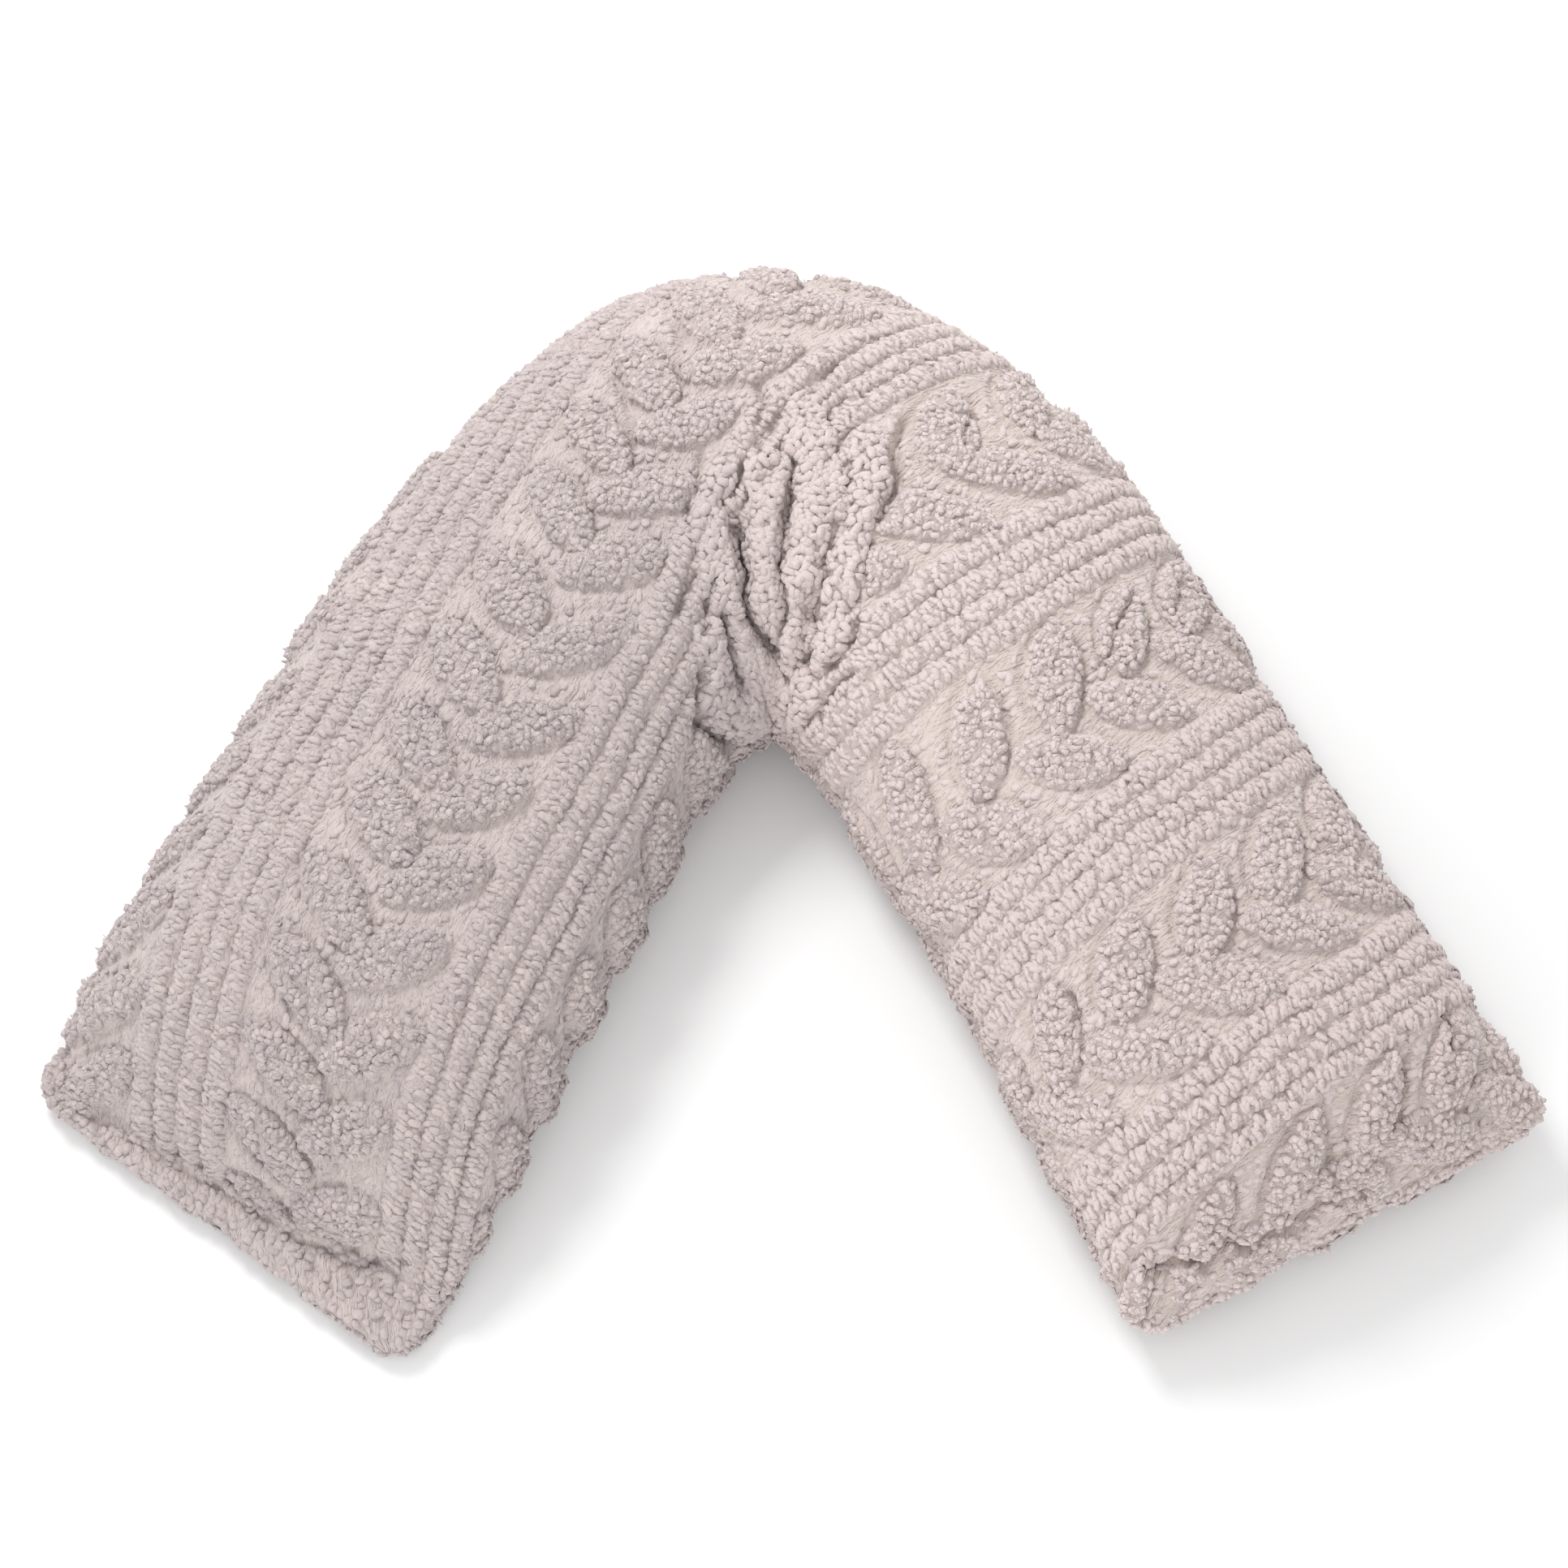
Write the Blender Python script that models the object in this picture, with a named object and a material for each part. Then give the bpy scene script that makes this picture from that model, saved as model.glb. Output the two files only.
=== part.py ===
"""A v-shaped pillow lying on its back: one filled solid in a deep-pile fleece cover.

The cover is a front and a back cut as one V each, joined by a turned-in seam all the
way round. Its cloth carries bands of ribs with columns of leaf pads between them, and
it is gathered into ropes of cloth with creases between, on the inside of the bend.
"""
import math

import bmesh
import bpy
import numpy as np

MM = 0.001

# The pillow from its left end, round the bend, to its right end. Each row is a section
# from the inner seam to the outer outline, in mm on the floor plan; crown is its highest
# point, the seams are heights above the floor, turn is how many degrees the cloth there
# is turned from its lie on the left arm, draw is how far it is drawn up along its ribs,
# with 1 for flat cloth, and inset is how far the outer seam lies inside the outline,
# where the back swells out under it.
COLUMNS = (
    "inner_x", "inner_y", "outer_x", "outer_y", "crown", "inner_seam", "outer_seam", "turn", "draw",
    "inset",
)
SECTIONS = (
    (-261, -410, -533, -215, 96, 11, 11, 0, 1.06, 0),
    (-239, -374, -510, -183, 120, 14, 18, 0, 1.06, 0),
    (-203, -312, -476, -127, 144, 44, 54, 0, 1.06, 0),
    (-160, -222, -431, -52, 156, 60, 72, 0, 1.06, 0),
    (-103, -106, -372, 53, 160, 62, 78, 0, 1.06, 0),
    (-57, -9, -308, 166, 162, 60, 80, 0, 1.06, 0),
    (-24, 32, -238, 260, 166, 58, 82, 0, 1.06, 0),
    (-14, 45, -131, 360, 170, 56, 84, -8, 1.05, 0),
    (-11, 49, -10, 390, 172, 56, 85, -18, 1.02, 0),
    (-6, 45, 118, 354, 170, 56, 85, -26, 0.99, 5),
    (16, 22, 230, 262, 166, 58, 84, -29, 0.96, 8),
    (57, -40, 304, 148, 162, 60, 82, -27, 0.95, 9),
    (102, -113, 372, 24, 160, 61, 80, -25, 0.95, 9),
    (154, -217, 432, -80, 156, 60, 74, -26, 0.95, 9),
    (206, -318, 488, -168, 142, 52, 62, -27, 0.95, 8),
    (240, -396, 538, -238, 104, 32, 36, -27, 0.95, 3),
)

# The left end is an unfilled strip of cover between the filling and the seam.
LEFT_STRIP_INNER = 52.0
LEFT_STRIP_OUTER = 14.0
LEFT_RISE = 190.0
LEFT_LIP = 0.22
LEFT_LIP_REACH = 14.0
LEFT_FULLNESS = 0.6
RIGHT_RISE = 120.0
COVER_HALF = 10.0
COVER_EDGE = 12.0
EAR_ROUND = 24.0
SEAM_REACH = 1.08
BACK_BELLY = 7.0
BACK_SWELL = 2.1

# The carved cloth, in mm. Bands of four ribs lie at even steps on the flat cloth. The
# filling stretches it wider on the left arm, so the middles of the bands are given as they
# lie on the pillow. Between two bands are two columns of leaf pads, a row each, and starts
# says where the first pad of each column lies, for one stripe after another.
STRIPE_ANGLE = 64.0
BAND_SHIFT = 131.0
BAND_PITCH = 187.0
BAND_MIDDLES = (-220, -10, 200, 380, 556, 745, 934)
RIB_OFFSETS = (-27.0, -9.0, 9.0, 27.0)
RIB_PITCH = 18.0
RIB_HEIGHT = 6.0
RIB_FULLNESS = 1.2
KNIT_SINK = 2.5
LEAF_PITCH = 65.5
LEAF_HEIGHT = 7.0
LEAF_FULLNESS = 0.6
LEAF_COLUMNS = ("across", "length", "width", "lean")
LEAVES = (
    (-22, 78, 37, 50),
    (26, 84, 38, -42),
)
LEAF_STARTS = ((20, 62), (2, 44), (22, 30), (12, 49), (55, 31), (12, 55))

# The creases, most of them between the ropes of cloth that run out from the inside of the
# bend: a row each, through three points in mm on the plan.
FOLD_COLUMNS = (
    "foot_x", "foot_y", "mid_x", "mid_y", "head_x", "head_y", "depth", "reach",
)
FOLDS = (
    (-27, 198, -39, 174, -34, 156, 9, 7),
    (-34, 156, -29, 133, -25, 108, 17, 9),
    (-25, 108, -18, 91, -5, 75, 18, 8),
    (-16, 265, -16, 245, -17, 230, 8, 8),
    (-6, 235, -11, 225, -17, 209, 8, 8),
    (-3, 209, -5, 199, -13, 184, 7, 7),
    (6, 202, 2, 183, 0, 163, 12, 7),
    (0, 163, -5, 149, -2, 126, 11, 7),
    (-2, 126, 3, 104, -3, 78, 9, 6),
    (24, 130, 27, 118, 17, 105, 9, 8),
    (17, 105, 14, 89, 10, 68, 8, 7),
    (45, 200, 44, 178, 41, 151, 8, 8),
    (85, 239, 80, 195, 68, 155, 10, 8),
    (61, 136, 57, 116, 42, 95, 8, 8),
    (50, 88, 46, 75, 29, 59, 10, 8),
    (47, 52, 32, 43, 17, 34, 8, 7),
    (-48, 116, -50, 98, -53, 84, 10, 7),
    (-40, 93, -35, 74, -27, 56, 13, 7),
    (-64, 118, -70, 106, -73, 96, 10, 8),
    (-55, 56, -58, 36, -59, 20, 11, 7),
    (-59, 20, -45, 22, -29, 30, 11, 7),
    (-74, 327, -75, 302, -78, 277, 7, 8),
    (-117, 280, -109, 248, -106, 219, 8, 8),
    (-63, 208, -60, 181, -65, 160, 8, 8),
    (19, 257, 25, 265, 36, 277, 8, 8),
    (30, 238, 35, 247, 42, 255, 8, 8),
    (135, 263, 133, 242, 131, 221, 7, 8),
    (278, 128, 280, 112, 280, 93, 7, 7),
    (244, 112, 235, 87, 223, 54, 7, 7),
    (368, -279, 373, -299, 364, -313, 7, 8),
    (372, -317, 342, -324, 307, -338, 10, 9),
    (307, -338, 286, -350, 240, -352, 10, 9),
)
FOLD_POWER = 1.5

# The ropes of gathered cloth between the creases: a row each, through four points in mm on
# the plan, half as wide as first_half where they begin and last_half where they end.
ROPE_COLUMNS = ("x1", "y1", "x2", "y2", "x3", "y3", "x4", "y4", "first_half", "last_half", "height")
ROPES = (
    (-9, 219, -14, 169, -15, 131, -7, 88, 10, 11, 10),
    (10, 268, 20, 199, 17, 148, 4, 77, 17, 11, 9),
    (66, 244, 57, 188, 46, 131, 29, 73, 14, 14, 8),
    (-50, 208, -48, 160, -44, 125, -35, 102, 13, 12, 8),
    (-31, 96, -24, 77, -17, 61, -6, 48, 10, 12, 9),
    (-55, 93, -45, 77, -41, 68, -36, 61, 8, 8, 7),
    (-3, 78, 5, 63, 11, 48, 15, 37, 9, 9, 7),
    (-51, 48, -42, 42, -35, 37, -23, 38, 13, 10, 8),
)
ROPE_TAPER = 0.2
ROPE_CALM = 0.7
ROPE_FLAT = 0.35
ROPE_STEPS = 25

# Where the cloth is gathered so tight that its carving is pulled nearly flat.
GATHER_X = -6.0
GATHER_Y = 112.0
GATHER_WIDE = 58.0
GATHER_LONG = 100.0
GATHER_CALM = 0.6
GATHER_SINK = 6.0

FINE_STEPS = 1500
ALONG_STEP = 4.0
ACROSS_CUTS = 104
FACES = 11700
SLIVER = 0.3
RESTING = 0.5

COVER_COLOUR = (0.58, 0.51, 0.49)
COVER_ROUGHNESS = 0.95


def column(table, names, name):
    """One named column of a table, as an array."""
    return np.array([row[names.index(name)] for row in table], dtype=float)


def smooth_between(values, places):
    """Values of a smooth curve through a column's rows, at fractional row numbers."""
    last = len(values) - 1
    row = np.clip(np.floor(places).astype(int), 0, last - 1)
    part = places - row
    before = values[np.maximum(row - 1, 0)]
    here = values[row]
    there = values[row + 1]
    beyond = values[np.minimum(row + 2, last)]
    linear = (there - before) * part
    square = (2 * before - 5 * here + 4 * there - beyond) * part**2
    cube = (3 * here - before - 3 * there + beyond) * part**3
    return here + (linear + square + cube) / 2


def travelled(points):
    """Distance run along a line of points, from its first one."""
    steps = np.linalg.norm(np.diff(points, axis=0), axis=1)
    return np.concatenate([[0.0], np.cumsum(steps)])


def section_rows():
    """The sections table, read at even steps along the outer seam."""
    fine = np.linspace(0, len(SECTIONS) - 1, FINE_STEPS)
    outer = np.stack([smooth_between(column(SECTIONS, COLUMNS, name), fine)
                      for name in ("outer_x", "outer_y")], axis=1)
    run = travelled(outer)
    count = int(round(run[-1] / ALONG_STEP)) + 1
    places = np.interp(np.linspace(0, run[-1], count), run, fine)
    return {name: smooth_between(column(SECTIONS, COLUMNS, name), places) for name in COLUMNS}


def ease(share):
    """A smooth step from 0 to 1."""
    share = np.clip(share, 0, 1)
    return share * share * (3 - 2 * share)


def round_over(distance, reach):
    """A quarter round from 0 at an edge to 1 at reach."""
    short = 1 - np.clip(distance / reach, 0, 1)
    return np.sqrt(1 - short**2)


def filled_form(rows):
    """Front and back of the pillow before its knit: two grids that share their rim."""
    turn_round = np.pi * np.arange(ACROSS_CUTS + 1) / ACROSS_CUTS
    share = (1 - np.cos(turn_round))[None, :] / 2
    inner = np.stack([rows["inner_x"], rows["inner_y"]], axis=1)
    outer = np.stack([rows["outer_x"], rows["outer_y"]], axis=1)
    across = (outer - inner) / np.linalg.norm(outer - inner, axis=1)[:, None]
    outer = outer - across * rows["inset"][:, None]
    width = np.linalg.norm(outer - inner, axis=1)[:, None]
    middle = travelled((inner + outer) / 2)[:, None]
    left = middle + 0 * share
    right = middle[-1] - middle + 0 * share
    ear = EAR_ROUND * (1 - round_over(np.minimum(left, right), EAR_ROUND))
    from_inner = ear + share * (width - 2 * ear)
    plan = inner[:, None, :] + across[:, None, :] * from_inner[:, :, None]
    side = np.minimum(share, 1 - share) * width

    seam = rows["inner_seam"][:, None] * (1 - share) + rows["outer_seam"][:, None] * share
    strip = LEFT_STRIP_INNER + share * (LEFT_STRIP_OUTER - LEFT_STRIP_INNER)
    lip = LEFT_LIP * round_over(left - strip, LEFT_LIP_REACH)
    filled = lip + (1 - LEFT_LIP) * ease((left - strip) / LEFT_RISE) ** LEFT_FULLNESS
    filled = filled * np.sqrt(1 - (2 * share - 1) ** 2) * round_over(right, RIGHT_RISE)
    crown = (rows["crown"][:, None] - seam) * filled
    rim = np.minimum(side, np.minimum(left, right))
    cover = COVER_HALF * round_over(rim, COVER_EDGE)
    front = np.dstack([plan, seam + np.hypot(crown, cover)])

    reach = seam * SEAM_REACH
    sink = np.hypot(1 - np.clip(side / reach, 0, 1),
                    1 - np.clip(np.minimum(left, right) / reach, 0, 1))
    back_height = seam * (1 - np.sqrt(np.clip(1 - sink**2, 0, 1)))
    swell = np.where(share < 0.5, -BACK_BELLY, BACK_BELLY + BACK_SWELL * rows["inset"][:, None])
    belly = swell * np.sin(np.pi * np.sqrt(np.clip(side / reach, 0, 1)))
    belly = belly * ease(right / RIGHT_RISE) * ease(left / LEFT_RISE)
    back = np.dstack([plan + across[:, None, :] * belly[:, :, None], back_height])
    return front, back


def cloth_places(rows, face):
    """Where each point of a face falls on the flat cloth: across the ribs, and along them."""
    outer = np.stack([rows["outer_x"], rows["outer_y"]], axis=1)
    inner = np.stack([rows["inner_x"], rows["inner_y"]], axis=1)
    turn = -np.radians(rows["turn"])
    step = np.diff(outer, axis=0, prepend=outer[:1])
    rim = np.cumsum(turned(step, turn), axis=0)
    inward = turned((inner - outer) / np.linalg.norm(inner - outer, axis=1)[:, None], turn)
    gaps = np.linalg.norm(np.diff(face[:, ::-1], axis=1), axis=2)
    down = np.concatenate([np.zeros((len(face), 1)), np.cumsum(gaps, axis=1)], axis=1)[:, ::-1]
    down = down + rows["inset"][:, None]
    flat = rim[:, None, :] + inward[:, None, :] * down[:, :, None]
    lie = math.radians(STRIPE_ANGLE)
    across = flat[:, :, 0] * math.sin(lie) - flat[:, :, 1] * math.cos(lie) - BAND_SHIFT
    along = flat[:, :, 0] * math.cos(lie) + flat[:, :, 1] * math.sin(lie)
    band = np.interp(across, BAND_MIDDLES, np.arange(len(BAND_MIDDLES)) - 1)
    return band * BAND_PITCH, along * rows["draw"][:, None]


def turned(vectors, angles):
    """Plan vectors, each turned by its own angle."""
    cos, sin = np.cos(angles), np.sin(angles)
    return np.stack([vectors[:, 0] * cos - vectors[:, 1] * sin,
                     vectors[:, 0] * sin + vectors[:, 1] * cos], axis=1)


def rib_relief(across):
    """Height of the four ribs of each band."""
    place = across - np.round(across / BAND_PITCH) * BAND_PITCH
    height = np.zeros_like(place)
    for offset in RIB_OFFSETS:
        off = np.clip((place - offset) / RIB_PITCH, -0.5, 0.5)
        height = np.maximum(height, np.cos(np.pi * off) ** RIB_FULLNESS)
    return RIB_HEIGHT * height


def leaf_relief(across, along):
    """Height of the leaf pads, in two columns down each stripe between two bands."""
    stripe = np.round(across / BAND_PITCH - 0.5)
    place = across - (stripe + 0.5) * BAND_PITCH
    starts = np.array(LEAF_STARTS)[np.clip(stripe + 1, 0, len(LEAF_STARTS) - 1).astype(int)]
    height = np.zeros_like(place)
    for kind, leaf in enumerate(LEAVES):
        size = dict(zip(LEAF_COLUMNS, leaf))
        lean = math.radians(size["lean"])
        nearest = np.round((along - starts[:, :, kind]) / LEAF_PITCH)
        for row in (-1, 0, 1):
            x = place - size["across"]
            y = along - starts[:, :, kind] - (nearest + row) * LEAF_PITCH
            lengthwise = -x * math.sin(lean) + y * math.cos(lean)
            sideways = x * math.cos(lean) + y * math.sin(lean)
            spot = (2 * lengthwise / size["length"]) ** 2 + (2 * sideways / size["width"]) ** 2
            height = np.maximum(height, np.clip(1 - spot, 0, 1) ** LEAF_FULLNESS)
    return LEAF_HEIGHT * height


def from_line(plan_x, plan_y, start, end):
    """Distance on the plan from a straight line between two points."""
    run_x, run_y = end[0] - start[0], end[1] - start[1]
    off_x, off_y = plan_x - start[0], plan_y - start[1]
    share = np.clip((off_x * run_x + off_y * run_y) / (run_x**2 + run_y**2), 0, 1)
    return np.hypot(off_x - share * run_x, off_y - share * run_y)


def rope_relief(plan_x, plan_y):
    """Height of the ropes, and their share of full roundness."""
    height = np.zeros_like(plan_x)
    share = np.zeros_like(plan_x)
    for row in ROPES:
        rope = dict(zip(ROPE_COLUMNS, row))
        fine = np.linspace(0, 3, ROPE_STEPS)
        xs, ys = (smooth_between(np.array([rope[axis + place] for place in "1234"], dtype=float), fine)
                  for axis in ("x", "y"))
        away = np.full_like(plan_x, np.inf)
        place = np.zeros_like(plan_x)
        for step in range(ROPE_STEPS - 1):
            start, end = (xs[step], ys[step]), (xs[step + 1], ys[step + 1])
            off = from_line(plan_x, plan_y, start, end)
            place = np.where(off < away, (step + 0.5) / (ROPE_STEPS - 1), place)
            away = np.minimum(away, off)
        half = rope["first_half"] + (rope["last_half"] - rope["first_half"]) * place
        round_rope = np.sqrt(np.clip(1 - (away / half) ** 2, 0, 1)) * ease(place / ROPE_TAPER)
        height = np.maximum(height, rope["height"] * round_rope)
        share = np.maximum(share, round_rope)
    return height, share


def fold_relief(plan_x, plan_y):
    """Depth of the creases, each through its three points."""
    depth = np.zeros_like(plan_x)
    for row in FOLDS:
        fold = dict(zip(FOLD_COLUMNS, row))
        foot, mid, head = ((fold[end + "_x"], fold[end + "_y"]) for end in ("foot", "mid", "head"))
        away = np.minimum(from_line(plan_x, plan_y, foot, mid), from_line(plan_x, plan_y, mid, head))
        near = 1 - np.clip(away / fold["reach"], 0, 1)
        depth = np.maximum(depth, fold["depth"] * near**FOLD_POWER)
    return depth


def outward(face, flip):
    """Unit normals of a grid face."""
    along = np.gradient(face, axis=0)
    across = np.gradient(face, axis=1)
    normal = np.cross(along, across) * flip
    size = np.linalg.norm(normal, axis=2, keepdims=True)
    return normal / np.maximum(size, 1e-9)


def rim_share(face):
    """0 on the seam all round a face, 1 from a rib's width inside it."""
    from_inner = np.linalg.norm(face - face[:, :1], axis=2)
    from_outer = np.linalg.norm(face - face[:, -1:], axis=2)
    from_left = np.linalg.norm(face - face[:1], axis=2)
    from_right = np.linalg.norm(face - face[-1:], axis=2)
    nearest = np.minimum(np.minimum(from_inner, from_outer), np.minimum(from_left, from_right))
    return ease(nearest / RIB_PITCH)


def knitted(rows, face, flip, folded):
    """A face with its ribs, leaf pads and creases raised in its points."""
    across, along = cloth_places(rows, face)
    relief = np.maximum(rib_relief(across), leaf_relief(across, along))
    from_gather = np.hypot((face[:, :, 0] - GATHER_X) / GATHER_WIDE,
                           (face[:, :, 1] - GATHER_Y) / GATHER_LONG)
    drawn = ease(2 - 2 * from_gather)
    relief = (relief - KNIT_SINK) * (1 - GATHER_CALM * drawn)
    if folded:
        ropes, rope_share = rope_relief(face[:, :, 0], face[:, :, 1])
        relief = relief * (1 - ROPE_CALM * rope_share) - GATHER_SINK * drawn
        relief = relief + ropes * (ROPE_FLAT + (1 - ROPE_FLAT) * drawn)
        relief = relief - fold_relief(face[:, :, 0], face[:, :, 1])
    relief = relief * rim_share(face)
    return face + outward(face, flip) * relief[:, :, None]


def pillow_points():
    """Front and back grids of the finished pillow, in mm, and their shared rim."""
    rows = section_rows()
    front, back = filled_form(rows)
    front = knitted(rows, front, 1, True)
    resting = back[:, :, 2] < RESTING
    back = np.where(resting[:, :, None], back, knitted(rows, back, -1, False))
    back[:, :, 2] = np.maximum(back[:, :, 2], 0)
    return front, back


def closed_mesh(name, front, back):
    """One closed mesh from two grids that meet on their rim."""
    long, wide = front.shape[:2]
    numbers = np.arange(long * wide).reshape(long, wide)
    back_numbers = numbers.copy()
    inside = np.zeros((long, wide), dtype=bool)
    inside[1:-1, 1:-1] = True
    back_numbers[inside] = long * wide + np.arange(inside.sum())
    points = np.concatenate([front.reshape(-1, 3), back[inside]]) * MM
    faces = quads(numbers, False) + quads(back_numbers, True)
    mesh = bpy.data.meshes.new(name)
    mesh.from_pydata(points.tolist(), [], faces)
    mesh.validate()
    return mesh


def quads(numbers, flipped):
    """Four-sided faces of a grid of point numbers."""
    corners = [numbers[:-1, :-1], numbers[1:, :-1], numbers[1:, 1:], numbers[:-1, 1:]]
    if flipped:
        corners.reverse()
    return np.stack(corners, axis=2).reshape(-1, 4).tolist()


def thinned(item):
    """The item's mesh with its triangles cut down to the number allowed."""
    fewer = item.modifiers.new("fewer_faces", "DECIMATE")
    fewer.decimate_type = "COLLAPSE"
    triangles = sum(len(face.vertices) - 2 for face in item.data.polygons)
    fewer.ratio = FACES / triangles
    fewer.use_collapse_triangulate = True
    evaluated = item.evaluated_get(bpy.context.evaluated_depsgraph_get())
    mesh = bpy.data.meshes.new_from_object(evaluated)
    item.modifiers.clear()
    return mesh


def joined_tips(mesh):
    """Take out the slivers that thinning leaves at the tips of the corners."""
    work = bmesh.new()
    work.from_mesh(mesh)
    bmesh.ops.remove_doubles(work, verts=work.verts, dist=SLIVER * MM)
    work.to_mesh(mesh)
    work.free()


def settle(mesh):
    """Stand the mesh on the floor, centred on the plan, with a flat underside."""
    places = np.empty(len(mesh.vertices) * 3, dtype=np.float32)
    mesh.vertices.foreach_get("co", places)
    places = places.reshape(-1, 3)
    middle = (places.min(axis=0) + places.max(axis=0)) / 2
    places[:, :2] -= middle[:2]
    places[:, 2] = np.where(places[:, 2] < RESTING * MM, 0, places[:, 2])
    mesh.vertices.foreach_set("co", places.ravel())
    mesh.update()


def cover_material():
    """Warm grey fleece."""
    fleece = bpy.data.materials.new("fleece")
    fleece.use_nodes = True
    shader = fleece.node_tree.nodes["Principled BSDF"]
    shader.inputs["Base Color"].default_value = (*COVER_COLOUR, 1)
    shader.inputs["Roughness"].default_value = COVER_ROUGHNESS
    shader.inputs["Metallic"].default_value = 0
    return fleece


def build_pillow():
    """The pillow as one solid object."""
    front, back = pillow_points()
    pillow = bpy.data.objects.new("v_pillow", closed_mesh("v_pillow", front, back))
    bpy.context.scene.collection.objects.link(pillow)
    pillow.data = thinned(pillow)
    joined_tips(pillow.data)
    settle(pillow.data)
    pillow.data.materials.clear()
    pillow.data.materials.append(cover_material())
    pillow.data.shade_smooth()
    return pillow


for item in list(bpy.context.scene.objects):
    bpy.data.objects.remove(item)
build_pillow()
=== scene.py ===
# %% [markdown]
# # A v-shaped pillow in carved fleece
#
# The object is a filled pillow cut as a wide V that lies on its back. Its cover is a deep, curly
# fleece, carved so that bands of four ribs take turns with stripes of leaf-shaped pads. The packed
# model gives its place and its size. This lesson builds the cover over that model: first the smooth
# filled form, then the carved fleece raised in its points, then curls of pile, materials and light.

import math

import bpy
import numpy as np
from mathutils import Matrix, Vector


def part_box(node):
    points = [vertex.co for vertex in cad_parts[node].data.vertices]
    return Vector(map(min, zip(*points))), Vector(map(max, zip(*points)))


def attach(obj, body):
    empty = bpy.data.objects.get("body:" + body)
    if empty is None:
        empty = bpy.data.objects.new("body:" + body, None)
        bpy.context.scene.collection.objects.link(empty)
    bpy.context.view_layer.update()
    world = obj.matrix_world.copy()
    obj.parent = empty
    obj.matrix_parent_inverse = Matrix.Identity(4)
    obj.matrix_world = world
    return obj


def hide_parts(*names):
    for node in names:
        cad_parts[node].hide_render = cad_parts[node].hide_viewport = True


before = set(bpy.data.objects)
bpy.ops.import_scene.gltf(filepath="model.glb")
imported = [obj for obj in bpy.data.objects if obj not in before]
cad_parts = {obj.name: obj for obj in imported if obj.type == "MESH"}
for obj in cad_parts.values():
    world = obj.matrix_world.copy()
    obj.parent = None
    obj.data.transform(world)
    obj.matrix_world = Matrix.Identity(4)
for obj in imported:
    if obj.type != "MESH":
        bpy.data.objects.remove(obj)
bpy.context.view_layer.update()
low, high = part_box("v_pillow")
MM = 0.001
print("pillow in the packed model, mm:", [round(size / MM) for size in high - low])

# %% [markdown]
# ## The pillow's sections
#
# A front and a back are cut as one V each, sewn together all the way round and filled. So the form is
# a row of sections, from the left end round the bend to the right end, and a smooth curve through
# them gives every section in between. Each one runs from the inner seam to the outer outline, and its
# crown and its seams are heights over the floor. On the right arm the back swells out under the outer
# seam, so the seam lies a few millimetres inside the outline there, which is its inset. The V could
# also be bent from a straight pillow with a modifier, but a table in real sizes follows each arm's
# own widths. More sections are read near both ends, where the form turns down to the seam in a short
# way.

# %% Sections, in mm on the floor plan
COLUMNS = (
    "inner_x", "inner_y", "outer_x", "outer_y", "crown", "inner_seam", "outer_seam", "turn", "draw",
    "inset",
)
SECTIONS = (
    (-261, -410, -533, -215, 96, 11, 11, 0, 1.06, 0),
    (-239, -374, -510, -183, 120, 14, 18, 0, 1.06, 0),
    (-203, -312, -476, -127, 144, 44, 54, 0, 1.06, 0),
    (-160, -222, -431, -52, 156, 60, 72, 0, 1.06, 0),
    (-103, -106, -372, 53, 160, 62, 78, 0, 1.06, 0),
    (-57, -9, -308, 166, 162, 60, 80, 0, 1.06, 0),
    (-24, 32, -238, 260, 166, 58, 82, 0, 1.06, 0),
    (-14, 45, -131, 360, 170, 56, 84, -8, 1.05, 0),
    (-11, 49, -10, 390, 172, 56, 85, -18, 1.02, 0),
    (-6, 45, 118, 354, 170, 56, 85, -26, 0.99, 5),
    (16, 22, 230, 262, 166, 58, 84, -29, 0.96, 8),
    (57, -40, 304, 148, 162, 60, 82, -27, 0.95, 9),
    (102, -113, 372, 24, 160, 61, 80, -25, 0.95, 9),
    (154, -217, 432, -80, 156, 60, 74, -26, 0.95, 9),
    (206, -318, 488, -168, 142, 52, 62, -27, 0.95, 8),
    (240, -396, 538, -238, 104, 32, 36, -27, 0.95, 3),
)
FINE_STEPS = 1500
END_REACH = 75.0
END_SHARE = 0.1


def column(name):
    """One named column of the sections, as an array."""
    return np.array([row[COLUMNS.index(name)] for row in SECTIONS], dtype=float)


def smooth_between(values, places):
    """Values of a smooth curve through a table's rows, at fractional row numbers."""
    last = len(values) - 1
    row = np.clip(np.floor(places).astype(int), 0, last - 1)
    part = (places - row).reshape((-1,) + (1,) * (values.ndim - 1))
    before = values[np.maximum(row - 1, 0)]
    here = values[row]
    there = values[row + 1]
    beyond = values[np.minimum(row + 2, last)]
    linear = (there - before) * part
    square = (2 * before - 5 * here + 4 * there - beyond) * part**2
    cube = (3 * here - before - 3 * there + beyond) * part**3
    return here + (linear + square + cube) / 2


def travelled(points):
    """Distance run along a line of points, from its first one."""
    steps = np.linalg.norm(np.diff(points, axis=0), axis=1)
    return np.concatenate([[0.0], np.cumsum(steps)])


def rows_at(places):
    """Every column of the sections, at fractional row numbers."""
    return {name: smooth_between(column(name), places) for name in COLUMNS}


def plan_line(rows, side):
    """Plan points along the inner or the outer side of the pillow."""
    return np.stack([rows[f"{side}_x"], rows[f"{side}_y"]], axis=1)


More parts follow.
